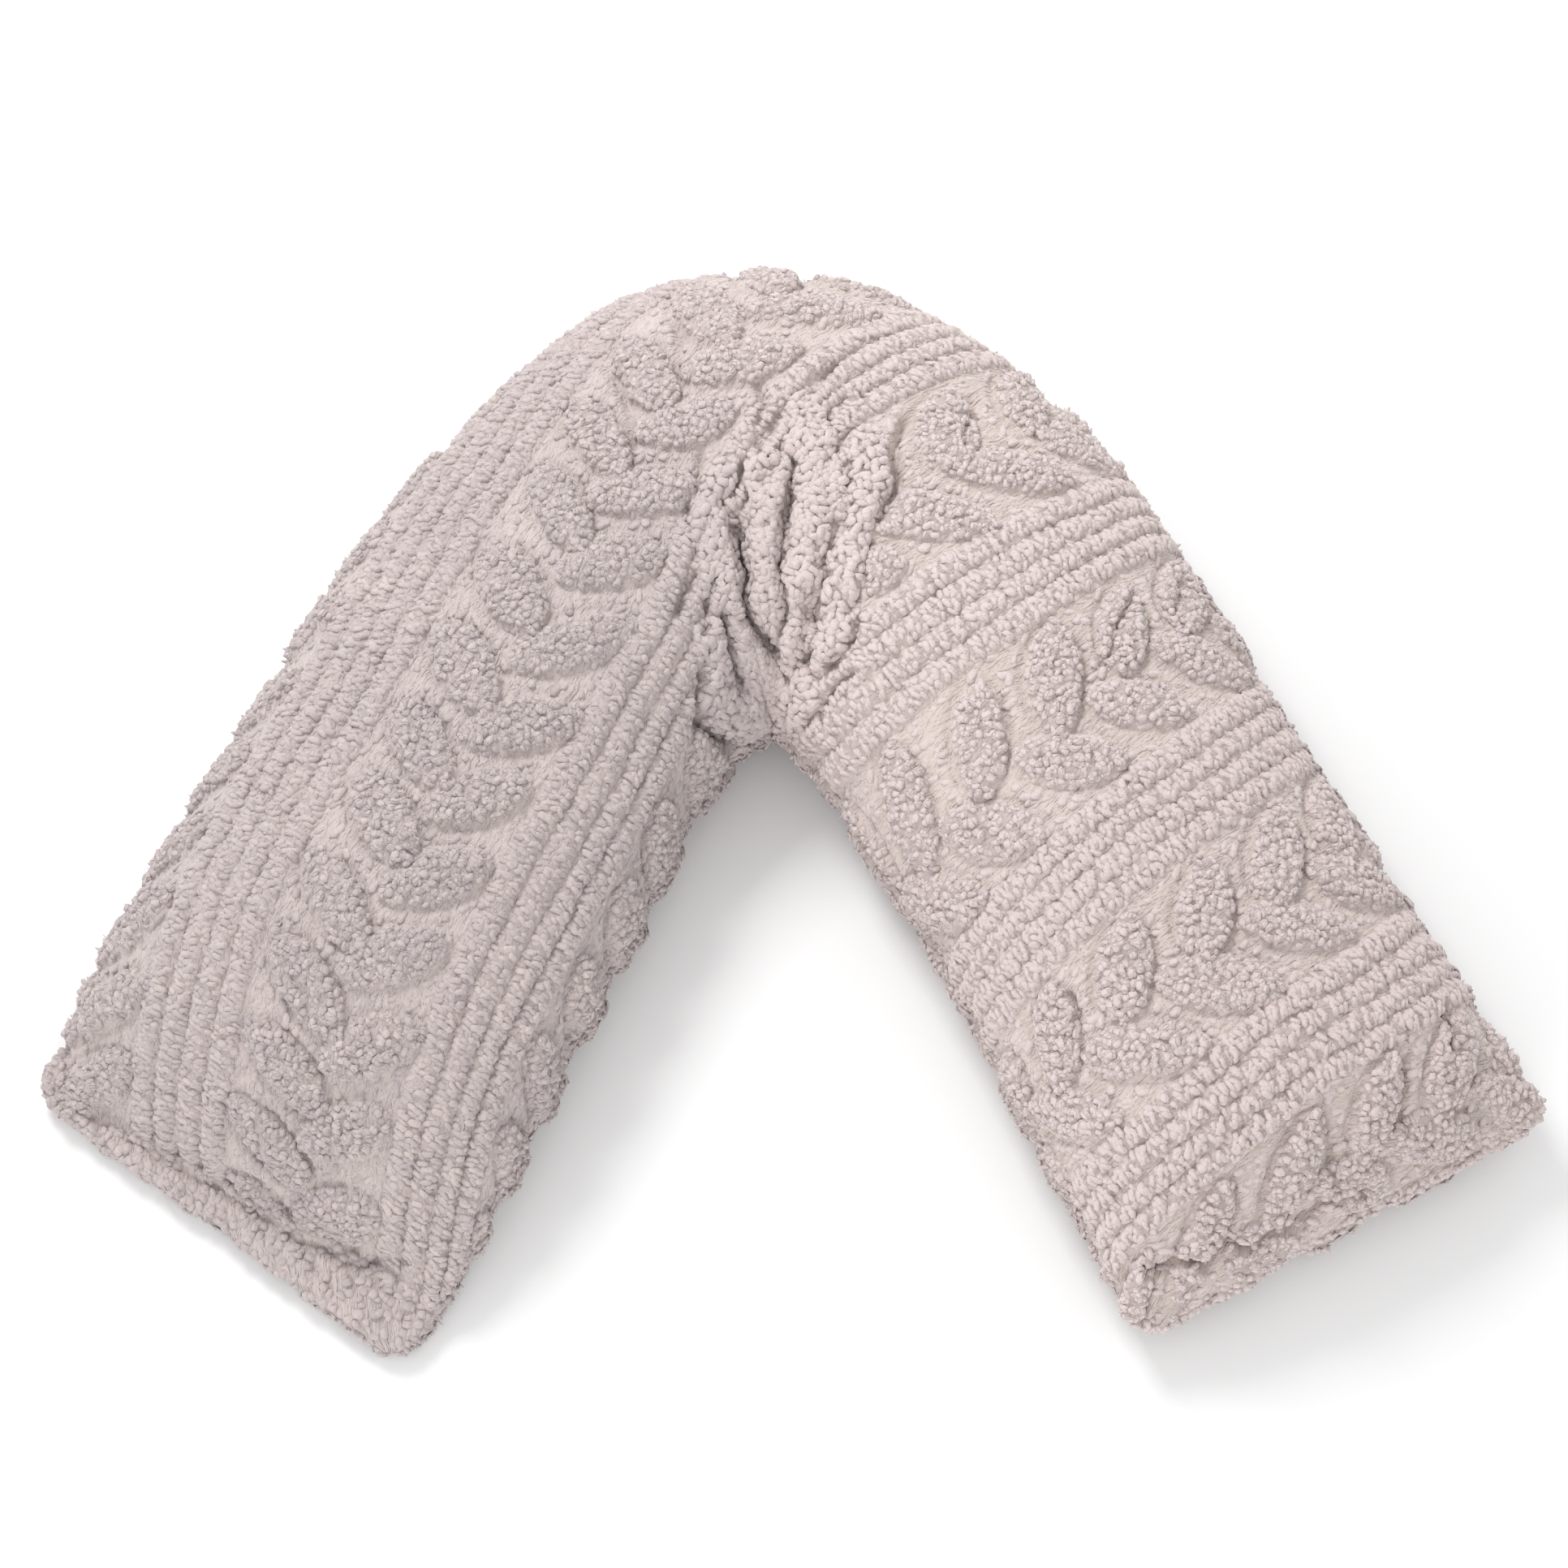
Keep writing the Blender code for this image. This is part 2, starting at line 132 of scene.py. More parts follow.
def section_rows(count):
    """The sections, read at this many steps along the outer side, with more of them at both ends."""
    fine = np.linspace(0, len(SECTIONS) - 1, FINE_STEPS)
    run = travelled(plan_line(rows_at(fine), "outer"))
    shares = (0, END_SHARE, 1 - END_SHARE, 1)
    stops = np.interp(np.linspace(0, 1, count), shares, (0, END_REACH, run[-1] - END_REACH, run[-1]))
    return rows_at(np.interp(stops, run, fine))


# A few sections are enough for the sizes that the next cells print.
few_rows = section_rows(len(SECTIONS))
for side in ("inner", "outer"):
    print(f"the {side} side runs", round(travelled(plan_line(few_rows, side))[-1]), "mm")

# %% [markdown]
# ## The filled form
#
# The front of a filled pillow is a crown that stands steep over its seams. The back is pressed flat
# where it rests, and rolls up to the seam. The left end is a strip of cover that the filling doesn't
# reach, with a round lip of filled cloth over it, and the right end is plump. A cloth simulation could
# swell the form too, but a formula over the sections stays close to the photograph's outline and keeps
# the carving crisp.

# %% The filled form
LEFT_STRIP_INNER = 52.0
LEFT_STRIP_OUTER = 14.0
LEFT_RISE = 190.0
LEFT_LIP = 0.22
LEFT_LIP_REACH = 14.0
LEFT_FULLNESS = 0.6
RIGHT_RISE = 120.0
COVER_HALF = 10.0
COVER_EDGE = 12.0
EAR_ROUND = 24.0
SEAM_REACH = 1.08
BACK_BELLY = 7.0
BACK_SWELL = 2.1
CUTS = 360
TINY = 1e-9


def unit(vectors):
    """The same vectors, each one long."""
    return vectors / np.maximum(np.linalg.norm(vectors, axis=-1, keepdims=True), TINY)


def ease(share):
    """A smooth step from 0 to 1."""
    share = np.clip(share, 0, 1)
    return share * share * (3 - 2 * share)


def round_over(distance, reach):
    """A quarter round from 0 at an edge to 1 at reach."""
    short = 1 - np.clip(distance / reach, 0, 1)
    return np.sqrt(1 - short**2)


def strip_width(share):
    """Width of the slack strip at the left end, at a share of the way to the outer side."""
    return LEFT_STRIP_INNER + share * (LEFT_STRIP_OUTER - LEFT_STRIP_INNER)


def filled_form(rows):
    """Front and back of the pillow before it is carved: two grids that share their rim."""
    share = (1 - np.cos(np.pi * np.arange(CUTS + 1) / CUTS))[None, :] / 2
    inner, outer = plan_line(rows, "inner"), plan_line(rows, "outer")
    across = unit(outer - inner)
    outer = outer - across * rows["inset"][:, None]
    width = np.linalg.norm(outer - inner, axis=1)[:, None]
    middle = travelled((inner + outer) / 2)[:, None]
    left = middle + 0 * share
    right = middle[-1] - middle + 0 * share
    ear = EAR_ROUND * (1 - round_over(np.minimum(left, right), EAR_ROUND))
    from_inner = ear + share * (width - 2 * ear)
    plan = inner[:, None, :] + across[:, None, :] * from_inner[:, :, None]
    side = np.minimum(share, 1 - share) * width

    seam = rows["inner_seam"][:, None] * (1 - share) + rows["outer_seam"][:, None] * share
    strip = strip_width(share)
    lip = LEFT_LIP * round_over(left - strip, LEFT_LIP_REACH)
    filled = lip + (1 - LEFT_LIP) * ease((left - strip) / LEFT_RISE) ** LEFT_FULLNESS
    filled = filled * np.sqrt(1 - (2 * share - 1) ** 2) * round_over(right, RIGHT_RISE)
    crown = (rows["crown"][:, None] - seam) * filled
    rim = np.minimum(side, np.minimum(left, right))
    cover = COVER_HALF * round_over(rim, COVER_EDGE)
    front = np.dstack([plan, seam + np.hypot(crown, cover)])

    reach = seam * SEAM_REACH
    sink = np.hypot(1 - np.clip(side / reach, 0, 1),
                    1 - np.clip(np.minimum(left, right) / reach, 0, 1))
    back_height = seam * (1 - np.sqrt(np.clip(1 - sink**2, 0, 1)))
    swell = np.where(share < 0.5, -BACK_BELLY, BACK_BELLY + BACK_SWELL * rows["inset"][:, None])
    belly = swell * np.sin(np.pi * np.sqrt(np.clip(side / reach, 0, 1)))
    belly = belly * ease(right / RIGHT_RISE) * ease(left / LEFT_RISE)
    back = np.dstack([plan + across[:, None, :] * belly[:, :, None], back_height])
    return front, back


few_front = filled_form(few_rows)[0]
print("the form stands", round(few_front[:, :, 2].max()), "mm high")

# %% Even steps and normals
def evened(face, count):
    """A face with each section read again at even steps along its own length."""
    even = []
    for line in face:
        run = travelled(line)
        places = np.linspace(0, run[-1], count)
        even.append(np.stack([np.interp(places, run, values) for values in line.T], axis=1))
    return np.array(even)


def outward(face, flip):
    """Unit normals of a grid face."""
    return unit(np.cross(np.gradient(face, axis=0), np.gradient(face, axis=1)) * flip)


facing_up = outward(few_front, 1)[:, :, 2] > 0
print("the front faces up at", round(100 * facing_up.mean()), "% of its points")

# %% [markdown]
# ## Chance, the same on each run
#
# Cloth is never quite even. Each pad, rib and lock of pile gets its own small luck from one table of
# random numbers with a fixed seed, so the pillow comes out the same on every run. Each use reads the
# table from a place of its own. Soft waves are the same table read smoothly. Blender's own noise
# could give them too, but the points are worked out here before there is a mesh.

# %% Chance
CHANCE_SIDE = 256
CHANCES = np.random.default_rng(7).random((CHANCE_SIDE, CHANCE_SIDE))
SEED_STEP = 37
# The pads' luck takes five numbers from its own on, and the lumps and the curls take two.
SEEDS = {
    "rib start": 3,
    "rib drift": 4,
    "pad luck": 10,
    "pad lumps": 28,
    "knots": 33,
    "front curls": 41,
    "back curls": 61,
}


def chance(first, second, seed):
    """A number from 0 to 1 that belongs to two whole numbers."""
    row = (np.asarray(first).astype(int) + seed * SEED_STEP) % CHANCE_SIDE
    place = (np.asarray(second).astype(int) + seed * SEED_STEP) % CHANCE_SIDE
    return CHANCES[row, place]


print(len(SEEDS), "uses of chance for single ribs, pads, knots and curls")

# %% Soft waves and lumps
# Each wave's seed, its width and its height in mm. The height of warp and wear is a bare number.
WAVES = {
    "sway": (20, 70.0, 3.0),
    "swing": (22, 70.0, 3.0),
    "shake": (23, 24.0, 1.0),
    "warp across": (24, 12.0, 0.5),
    "warp along": (26, 12.0, 0.5),
    "wear": (30, 55.0, 0.5),
    "crumple x": (35, 21.0, 4.0),
    "crumple y": (36, 21.0, 4.0),
    "ragged rim": (37, 17.0, 3.0),
    "shag": (38, 9.0, 2.0),
}


def uneven(x, y, seed):
    """Soft unevenness from -1 to 1, with about one hill or hollow in each unit square."""
    cell_x, cell_y = np.floor(x), np.floor(y)
    part_x, part_y = ease(x - cell_x), ease(y - cell_y)
    near = chance(cell_x, cell_y, seed) * (1 - part_x) + chance(cell_x + 1, cell_y, seed) * part_x
    far = chance(cell_x, cell_y + 1, seed) * (1 - part_x) + chance(cell_x + 1, cell_y + 1, seed) * part_x
    return 2 * (near * (1 - part_y) + far * part_y) - 1


def wave(x, y, name):
    """Soft unevenness of one kind, at places in mm."""
    seed, wide, high = WAVES[name]
    return high * uneven(x / wide, y / wide, seed)


def nearest_lumps(x, y, seed):
    """Distances to the nearest and the next nearest of one scattered point in each unit square."""
    cell_x, cell_y = np.floor(x), np.floor(y)
    first = np.full_like(x, np.inf)
    second = np.full_like(x, np.inf)
    for step_x in (-1, 0, 1):
        for step_y in (-1, 0, 1):
            i, j = cell_x + step_x, cell_y + step_y
            away = np.hypot(i + chance(i, j, seed) - x, j + chance(i, j, seed + 1) - y)
            second = np.minimum(second, np.maximum(first, away))
            first = np.minimum(first, away)
    return first, second


print(len(WAVES), "kinds of soft wave")

# %% [markdown]
# ## Where each point lies on the flat cloth
#
# The ribs run straight on the flat cloth, which is wrapped over the form. So each point of the form
# is laid back on the flat, the outer seam first and then each section inward from it, and ribs and
# pads that are drawn straight there bend with the form by themselves. The filling stretches the cloth
# wider on the left arm than on the right, so the distance across the ribs is read between the middles
# of the bands. A section's turn is the angle by which the cloth is twisted there, in degrees, and its
# draw is how many millimetres of cloth lie in one millimetre of pillow along the ribs. On the steep
# end walls the way that the cloth climbs is added along the arm, or the pads would be drawn out. A
# painted height picture on a UV map could carry the carving too, but it would lose its real sizes.

# %% Places on the flat cloth
STRIPE_ANGLE = 64.0
BAND_SHIFT = 131.0
BAND_PITCH = 187.0
BAND_MIDDLES = (-220, -10, 200, 380, 556, 745, 934)


def turned(vectors, angles):
    """Plan vectors, each turned by its own angle."""
    cos, sin = np.cos(angles), np.sin(angles)
    return np.stack([vectors[:, 0] * cos - vectors[:, 1] * sin,
                     vectors[:, 0] * sin + vectors[:, 1] * cos], axis=1)


def cloth_places(rows, face):
    """Where each point of a face falls on the flat cloth: across the ribs, and along."""
    inner, outer = plan_line(rows, "inner"), plan_line(rows, "outer")
    turn = -np.radians(rows["turn"])
    rim = np.cumsum(turned(np.diff(outer, axis=0, prepend=outer[:1]), turn), axis=0)
    inward = turned(unit(inner - outer), turn)
    gaps = np.linalg.norm(np.diff(face[:, ::-1], axis=1), axis=2)
    down = np.concatenate([np.zeros((len(face), 1)), np.cumsum(gaps, axis=1)], axis=1)[:, ::-1]
    down = down + rows["inset"][:, None]
    climb = np.linalg.norm(np.diff(face, axis=0, prepend=face[:1]), axis=2)
    climb = climb - np.linalg.norm(np.diff(face[:, :, :2], axis=0, prepend=face[:1, :, :2]), axis=2)
    climb = np.cumsum(climb, axis=0)
    climb = climb - climb[len(face) // 2]
    lengthwise = unit(np.gradient(rim, axis=0))
    flat = rim[:, None, :] + inward[:, None, :] * down[:, :, None]
    flat = flat + lengthwise[:, None, :] * climb[:, :, None]
    lie = math.radians(STRIPE_ANGLE)
    across = flat[:, :, 0] * math.sin(lie) - flat[:, :, 1] * math.cos(lie) - BAND_SHIFT
    along = flat[:, :, 0] * math.cos(lie) + flat[:, :, 1] * math.sin(lie)
    band = np.interp(across, BAND_MIDDLES, np.arange(len(BAND_MIDDLES)) - 1)
    return band * BAND_PITCH, along * rows["draw"][:, None]


few_across, few_along = cloth_places(few_rows, few_front)
print("flat cloth, mm across and along the ribs:", round(np.ptp(few_across)), round(np.ptp(few_along)))

# %% [markdown]
# ## The carved fleece
#
# A carving machine shears the pile to different heights. It leaves bands of four round ribs with a
# narrow groove between them, stripes with two columns of leaf-shaped pads that lean against each
# other, and short ground. The pile curls into lumps: wide short ones in a row on a rib, and small
# round ones on a pad. A crease runs down both long sides of a pad, deeper in one column than in the
# other. Use has pressed the pile lower in some places. On the right arm, where the nap runs the other
# way, the ribs lie a little flatter and their lumps stand out more. All of it could be sculpted, but
# as formulas each rib and pad keeps its real size.

# %% Ribs
RIB_OFFSETS = (-27.0, -9.0, 9.0, 27.0)
RIB_PITCH = 18.0
RIB_HEIGHT = 5.0
RIB_SQUARE = 2.2
RIB_ROUND = 0.62
RIB_LUMP = 12.5
RIB_LUMP_DRIFT = 31.0
RIB_LUMP_SLANT = 0.16
RIB_LUMP_SQUARE = 2.4
GROOVE = 2.8
GROOVE_HALF = 20.0


def rib_band(across, along):
    """Height of the ribs in mm, their share and the share of their lumps."""
    stripe = np.round(across / BAND_PITCH)
    place = across - stripe * BAND_PITCH
    share = np.zeros_like(place)
    lumps = np.zeros_like(place)
    for number, offset in enumerate(RIB_OFFSETS):
        off = np.clip(2 * (place - offset) / RIB_PITCH, -1, 1)
        rib = (1 - np.abs(off) ** RIB_SQUARE) ** RIB_ROUND
        rank = stripe * len(RIB_OFFSETS) + number
        drift = uneven(along / RIB_LUMP_DRIFT, rank, SEEDS["rib drift"])
        start = chance(rank, 0, SEEDS["rib start"]) + drift
        beat = (along / RIB_LUMP + start) % 1 - 0.5 + RIB_LUMP_SLANT * off
        lump = 1 - np.abs(2 * beat) ** RIB_LUMP_SQUARE
        lumps = np.where(rib > share, lump, lumps)
        share = np.maximum(share, rib)
    groove = GROOVE * (1 - share) * (np.abs(place) < GROOVE_HALF)
    return RIB_HEIGHT * share - groove, share, lumps


print(len(RIB_OFFSETS), "ribs in each band,", RIB_PITCH, "mm apart")

# %% Leaf pads
LEAF_PITCH = 65.5
LEAF_SHOULDER = 12.0
LEAF_FULLNESS = 0.6
LEAF_STEEP = 9.0
LEAF_SHARP = 2.0
LEAF_BLUNT = 2.2
LEAF_TIP = 0.65
LEAF_CREASE = 3.0
LEAF_CREASE_TAPER = 0.5
LEAF_COLUMNS = ("across", "length", "width", "lean", "crease")
LEAVES = (
    (-22, 80, 38, 50, 3.6),
    (26, 86, 40, -42, 1.6),
)
LEAF_STARTS = ((20, 62), (2, 44), (22, 30), (12, 49), (55, 31), (12, 55))
LEAF_LUCK_PLACE = 5.0
LEAF_LUCK_LEAN = 12.0
LEAF_LUCK_SIZE = 0.16


def leaf_pads(across, along):
    """Share of full height on the leaf pads, and the depth of the creases beside them in mm."""
    stripe = np.round((across - BAND_PITCH / 2) / BAND_PITCH)
    place = across - BAND_PITCH / 2 - stripe * BAND_PITCH
    starts = np.array(LEAF_STARTS)[np.clip(stripe + 1, 0, len(LEAF_STARTS) - 1).astype(int)]
    share = np.zeros_like(place)
    crease = np.zeros_like(place)
    for kind, leaf in enumerate(LEAVES):
        size = dict(zip(LEAF_COLUMNS, leaf))
        nearest = np.round((along - starts[:, :, kind]) / LEAF_PITCH)
        for row in (-1, 0, 1):
            rank = (nearest + row, stripe * len(LEAVES) + kind)
            aside, ahead, tilted, longer, wider = (
                chance(*rank, SEEDS["pad luck"] + number) - 0.5 for number in range(5)
            )
            x = place - size["across"] - LEAF_LUCK_PLACE * aside
            y = along - starts[:, :, kind] - rank[0] * LEAF_PITCH - LEAF_LUCK_PLACE * ahead
            lean = np.radians(size["lean"] + LEAF_LUCK_LEAN * tilted)
            length = size["length"] * (1 + LEAF_LUCK_SIZE * longer)
            width = size["width"] * (1 + LEAF_LUCK_SIZE * wider)
            lengthwise = -x * np.sin(lean) + y * np.cos(lean)
            sideways = x * np.cos(lean) + y * np.sin(lean)
            middle = np.clip(1 - np.abs(2 * lengthwise / length) ** LEAF_BLUNT, 0, 1)
            half = width / 2 * middle**LEAF_TIP
            inside = half - np.abs(sideways)
            steep_side = (sideways > 0) & (size["crease"] > LEAF_SHARP)
            steep_edge = round_over(inside, LEAF_STEEP)
            soft_edge = ease(inside / LEAF_SHOULDER) ** LEAF_FULLNESS
            share = np.maximum(share, np.where(steep_side, steep_edge, soft_edge))
            beside = np.exp(-(((np.abs(sideways) - half - LEAF_CREASE / 2) / LEAF_CREASE) ** 2))
            crease = np.maximum(crease, size["crease"] * beside * middle**LEAF_CREASE_TAPER)
    return share, crease


print(len(LEAVES), "columns in each stripe, with a pad every", LEAF_PITCH, "mm")

# %% The carved height
RIB_LAID = 0.2
RIB_KNOBS = 2.6
RIB_CALM = 0.55
LEAF_HEIGHT = 6.5
PAD_LUMP = 9.5
PAD_KNOBS = 1.8
GROUND_KNOBS = 0.5
KNOB_LEVEL = 0.6
LUMP_EDGE = 0.5
LUMP_ROUND = 0.6
WEAR = 0.3


def carved(across, along, nap):
    """Height of the carved fleece in mm, with the measures kept for curls and materials."""
    sway, swing, shake = (wave(across, along, name) for name in ("sway", "swing", "shake"))
    across, along = across + sway + shake, along + swing
    rib_height, ribs, rib_lumps = rib_band(across, along)
    pads, creases = leaf_pads(across, along)
    lump_x = across / PAD_LUMP + wave(across, along, "warp across")
    lump_y = along / PAD_LUMP + wave(across, along, "warp along")
    near, next_near = nearest_lumps(lump_x, lump_y, SEEDS["pad lumps"])
    curl = np.clip((next_near - near) / LUMP_EDGE, 0, 1) ** LUMP_ROUND - KNOB_LEVEL
    worn = 1 - WEAR * (0.5 + wave(across, along, "wear"))
    rib_height = rib_height * (1 - RIB_LAID * nap)
    height = np.maximum(rib_height, pads * LEAF_HEIGHT) * worn - creases
    rib_knobs = RIB_KNOBS * (RIB_CALM + (1 - RIB_CALM) * nap)
    height = height + ribs * rib_knobs * (rib_lumps - KNOB_LEVEL) + pads * PAD_KNOBS * curl
    height = height + GROUND_KNOBS * curl * (1 - np.maximum(ribs, pads))
    return height, ribs, pads, creases, across, along


few_heights = carved(few_across, few_along, 0)[0]
print("the carving runs from", round(few_heights.min(), 1), "to", round(few_heights.max(), 1), "mm")

# %% [markdown]
# ## Folds at the bend
#
# The V is sewn from flat cloth, so the inside of the bend has too much of it. It is gathered there
# into ropes of cloth with deep, narrow creases between them that run out from the notch. Each rope is
# a row through four points and rises in a half round, on cloth that is drawn in a little. Each crease
# is a row through three points, and the cloth rolls down into it from both sides. The plan is shaken a
# little before both are drawn, because cloth never folds along a clean curve. A cloth simulation would
# fold it as well, but in other places than the photograph shows.

# %% Ropes of gathered cloth, in mm on the floor plan
# Each row: the x and y of four points, half the width at the first and the last one, and the height.
ROPES = (
    (-9, 219, -14, 169, -15, 131, -7, 88, 10, 11, 11),
    (10, 268, 20, 199, 17, 148, 4, 77, 17, 11, 10),
    (66, 244, 57, 188, 46, 131, 29, 73, 14, 14, 9),
    (-50, 208, -48, 160, -44, 125, -35, 102, 13, 12, 9),
    (-31, 96, -24, 77, -17, 61, -6, 48, 10, 12, 10),
    (-55, 93, -45, 77, -41, 68, -36, 61, 8, 8, 8),
    (-3, 78, 5, 63, 11, 48, 15, 37, 9, 9, 8),
    (-55, 50, -44, 43, -35, 38, -23, 38, 15, 12, 14),
)
ROPE_STEPS = 25
ROPE_TAPER = 0.2
KNOT_REACH = 19.0
KNOT_WIDE = 4.0
KNOT_HIGH = 2.0


def crumpled(plan_x, plan_y):
    """Plan places shaken a little, so that ropes and creases don't run true."""
    return plan_x + wave(plan_x, plan_y, "crumple x"), plan_y + wave(plan_x, plan_y, "crumple y")


def from_line(plan_x, plan_y, start, end):
    """Distance on the plan from a straight line between two points, and the share of it run there."""
    run_x, run_y = end[0] - start[0], end[1] - start[1]
    off_x, off_y = plan_x - start[0], plan_y - start[1]
    share = np.clip((off_x * run_x + off_y * run_y) / (run_x**2 + run_y**2), 0, 1)
    return np.hypot(off_x - share * run_x, off_y - share * run_y), share


def from_rope(plan_x, plan_y, points):
    """Distance on the plan from the middle of a rope, the way run along it, and its length."""
    points = np.array(points, dtype=float).reshape(-1, 2)
    line = smooth_between(points, np.linspace(0, len(points) - 1, ROPE_STEPS))
    run = travelled(line)
    away = np.full_like(plan_x, np.inf)
    way = np.zeros_like(plan_x)
    for start, end, begun, ended in zip(line[:-1], line[1:], run[:-1], run[1:]):
        off, share = from_line(plan_x, plan_y, start, end)
        way = np.where(off < away, begun + share * (ended - begun), way)
        away = np.minimum(away, off)
    return away, way, run[-1]


def gathered_ropes(plan_x, plan_y):
    """Height of the ropes in mm, and their share of full roundness."""
    height = np.zeros_like(plan_x)
    share = np.zeros_like(plan_x)
    for number, (*points, first_half, last_half, high) in enumerate(ROPES):
        away, way, length = from_rope(plan_x, plan_y, points)
        place = way / length
        knots = uneven(way / KNOT_REACH, number + 0 * way, SEEDS["knots"])
        half = first_half + (last_half - first_half) * place + KNOT_WIDE * knots
        round_rope = np.sqrt(np.clip(1 - (away / half) ** 2, 0, 1)) * ease(place / ROPE_TAPER)
        height = np.maximum(height, (high + KNOT_HIGH * knots) * round_rope)
        share = np.maximum(share, round_rope)
    return height, share


print(len(ROPES), "ropes, up to", max(row[-1] for row in ROPES), "mm high")

# %% Creases, in mm on the floor plan
# Each row: the x and y of its foot, its middle and its head, how deep it is and how far it reaches.
CREASES = (
    (-27, 198, -39, 174, -34, 156, 9, 7),
    (-34, 156, -29, 133, -25, 108, 17, 9),
    (-25, 108, -18, 91, -5, 75, 18, 8),
    (-16, 265, -16, 245, -17, 230, 8, 8),
    (-6, 235, -11, 225, -17, 209, 8, 8),
    (-3, 209, -5, 199, -13, 184, 7, 7),
    (6, 202, 2, 183, 0, 163, 12, 7),
    (0, 163, -5, 149, -2, 126, 11, 7),
    (-2, 126, 3, 104, -3, 78, 9, 6),
    (24, 130, 27, 118, 17, 105, 9, 8),
    (17, 105, 14, 89, 10, 68, 8, 7),
    (45, 200, 44, 178, 41, 151, 8, 8),
    (85, 239, 80, 195, 68, 155, 10, 8),
    (61, 136, 57, 116, 42, 95, 8, 8),
    (50, 88, 46, 75, 29, 59, 10, 8),
    (47, 52, 32, 43, 17, 34, 8, 7),
    (-48, 116, -50, 98, -53, 84, 10, 7),
    (-40, 93, -35, 74, -27, 56, 13, 7),
    (-64, 118, -70, 106, -73, 96, 10, 8),
    (-55, 56, -58, 36, -59, 20, 11, 7),
    (-61, 22, -45, 21, -24, 26, 16, 8),
    (-74, 327, -75, 302, -78, 277, 7, 8),
    (-117, 280, -109, 248, -106, 219, 8, 8),
    (-63, 208, -60, 181, -65, 160, 8, 8),
    (19, 257, 25, 265, 36, 277, 8, 8),
    (30, 238, 35, 247, 42, 255, 8, 8),
    (135, 263, 133, 242, 131, 221, 7, 8),
    (278, 128, 280, 112, 280, 93, 7, 7),
    (244, 112, 235, 87, 223, 54, 7, 7),
    (452, -180, 455, -197, 459, -208, 7, 7),
    (420, -220, 421, -238, 421, -256, 6, 7),
    (368, -279, 373, -299, 364, -313, 7, 8),
    (400, -296, 342, -324, 307, -338, 11, 5),
    (307, -338, 286, -350, 240, -352, 11, 5),
    (192, -178, 195, -190, 192, -205, 6, 7),
    (-498, -230, -459, -253, -418, -272, 4, 7),
    (-418, -272, -375, -298, -333, -323, 5, 7),
    (-333, -323, -305, -337, -261, -342, 6, 8),
)
CREASE_POWER = 1.5


def crease_depth(plan_x, plan_y):
    """Depth of the creases in mm."""
    depth = np.zeros_like(plan_x)
    for *points, deep, reach in CREASES:
        foot, middle, head = zip(points[::2], points[1::2])
        low_part = from_line(plan_x, plan_y, foot, middle)[0]
        high_part = from_line(plan_x, plan_y, middle, head)[0]
        near = 1 - np.clip(np.minimum(low_part, high_part) / reach, 0, 1)
        depth = np.maximum(depth, deep * near**CREASE_POWER)
    return depth


print(len(CREASES), "creases, the deepest", max(row[-2] for row in CREASES), "mm")

# %% [markdown]
# ## Front and back panels
#
# The cover is two panels, sewn with the seam turned in. So each panel is a fine grid that takes the
# carving in its points, and its edge rolls inward all the way round, a little ragged as deep pile is.
# Where the two edges meet they leave the groove of the seam. One closed mesh would do as well, but two
# grids are simple to number and keep the seam. On the slack strip at the left end the pile hangs shaggy
# over the carving and hides it. The measures of the cloth stay on the points, for the curls and the
# materials.

# %% Rim and slack strip
STRIP_EDGE = 9.0
# Each edge pulls the direction less by this power of its distance, so the nearest one decides.
RIM_FALL = 3


def rim_distance(face):
    """How far each point of a face is from the seam."""
    edges = (face[:, :1], face[:, -1:], face[:1], face[-1:])
    return np.min([np.linalg.norm(face - edge, axis=2) for edge in edges], axis=0)


def slack_strip(face):
    """Share of the slack strip at the left end: 1 on it, and 0 past its edge."""
    left = np.linalg.norm(face - face[:1], axis=2)
    width = strip_width(np.linspace(0, 1, face.shape[1]))
    return ease((width - left) / STRIP_EDGE + 0.5)


def rim_outward(face):
    """Unit vectors on the plan that point out of the pillow over its nearest seam."""
    across = face[:, -1:, :2] - face[:, :1, :2]
    edges = (
        (face[:, :1], -across),
        (face[:, -1:], across),
        (face[:1], face[:1, :, :2] - face[1:2, :, :2]),
        (face[-1:], face[-1:, :, :2] - face[-2:-1, :, :2]),
    )
    out = np.zeros(face.shape[:2] + (2,))
    for edge, way in edges:
        away = np.linalg.norm(face - edge, axis=2, keepdims=True)
        out = out + unit(way) / (away + 1) ** RIM_FALL
    return unit(out)


print("the slack strip narrows from", strip_width(0), "to", strip_width(1), "mm")

# %% Carve and fold a face
GATHER_X = -6.0
GATHER_Y = 112.0
GATHER_WIDE = 58.0
GATHER_LONG = 100.0
GATHER_CALM = 0.3
GATHER_SINK = 6.0
ROPE_CALM = 0.7
ROPE_FLAT = 0.35
CARVING_SINK = 2.0
SEAM_SINK = 5.0
SEAM_ROUND = 9.0
RELIEF_RIM = 12.0
RAGGED_FADE = 20.0


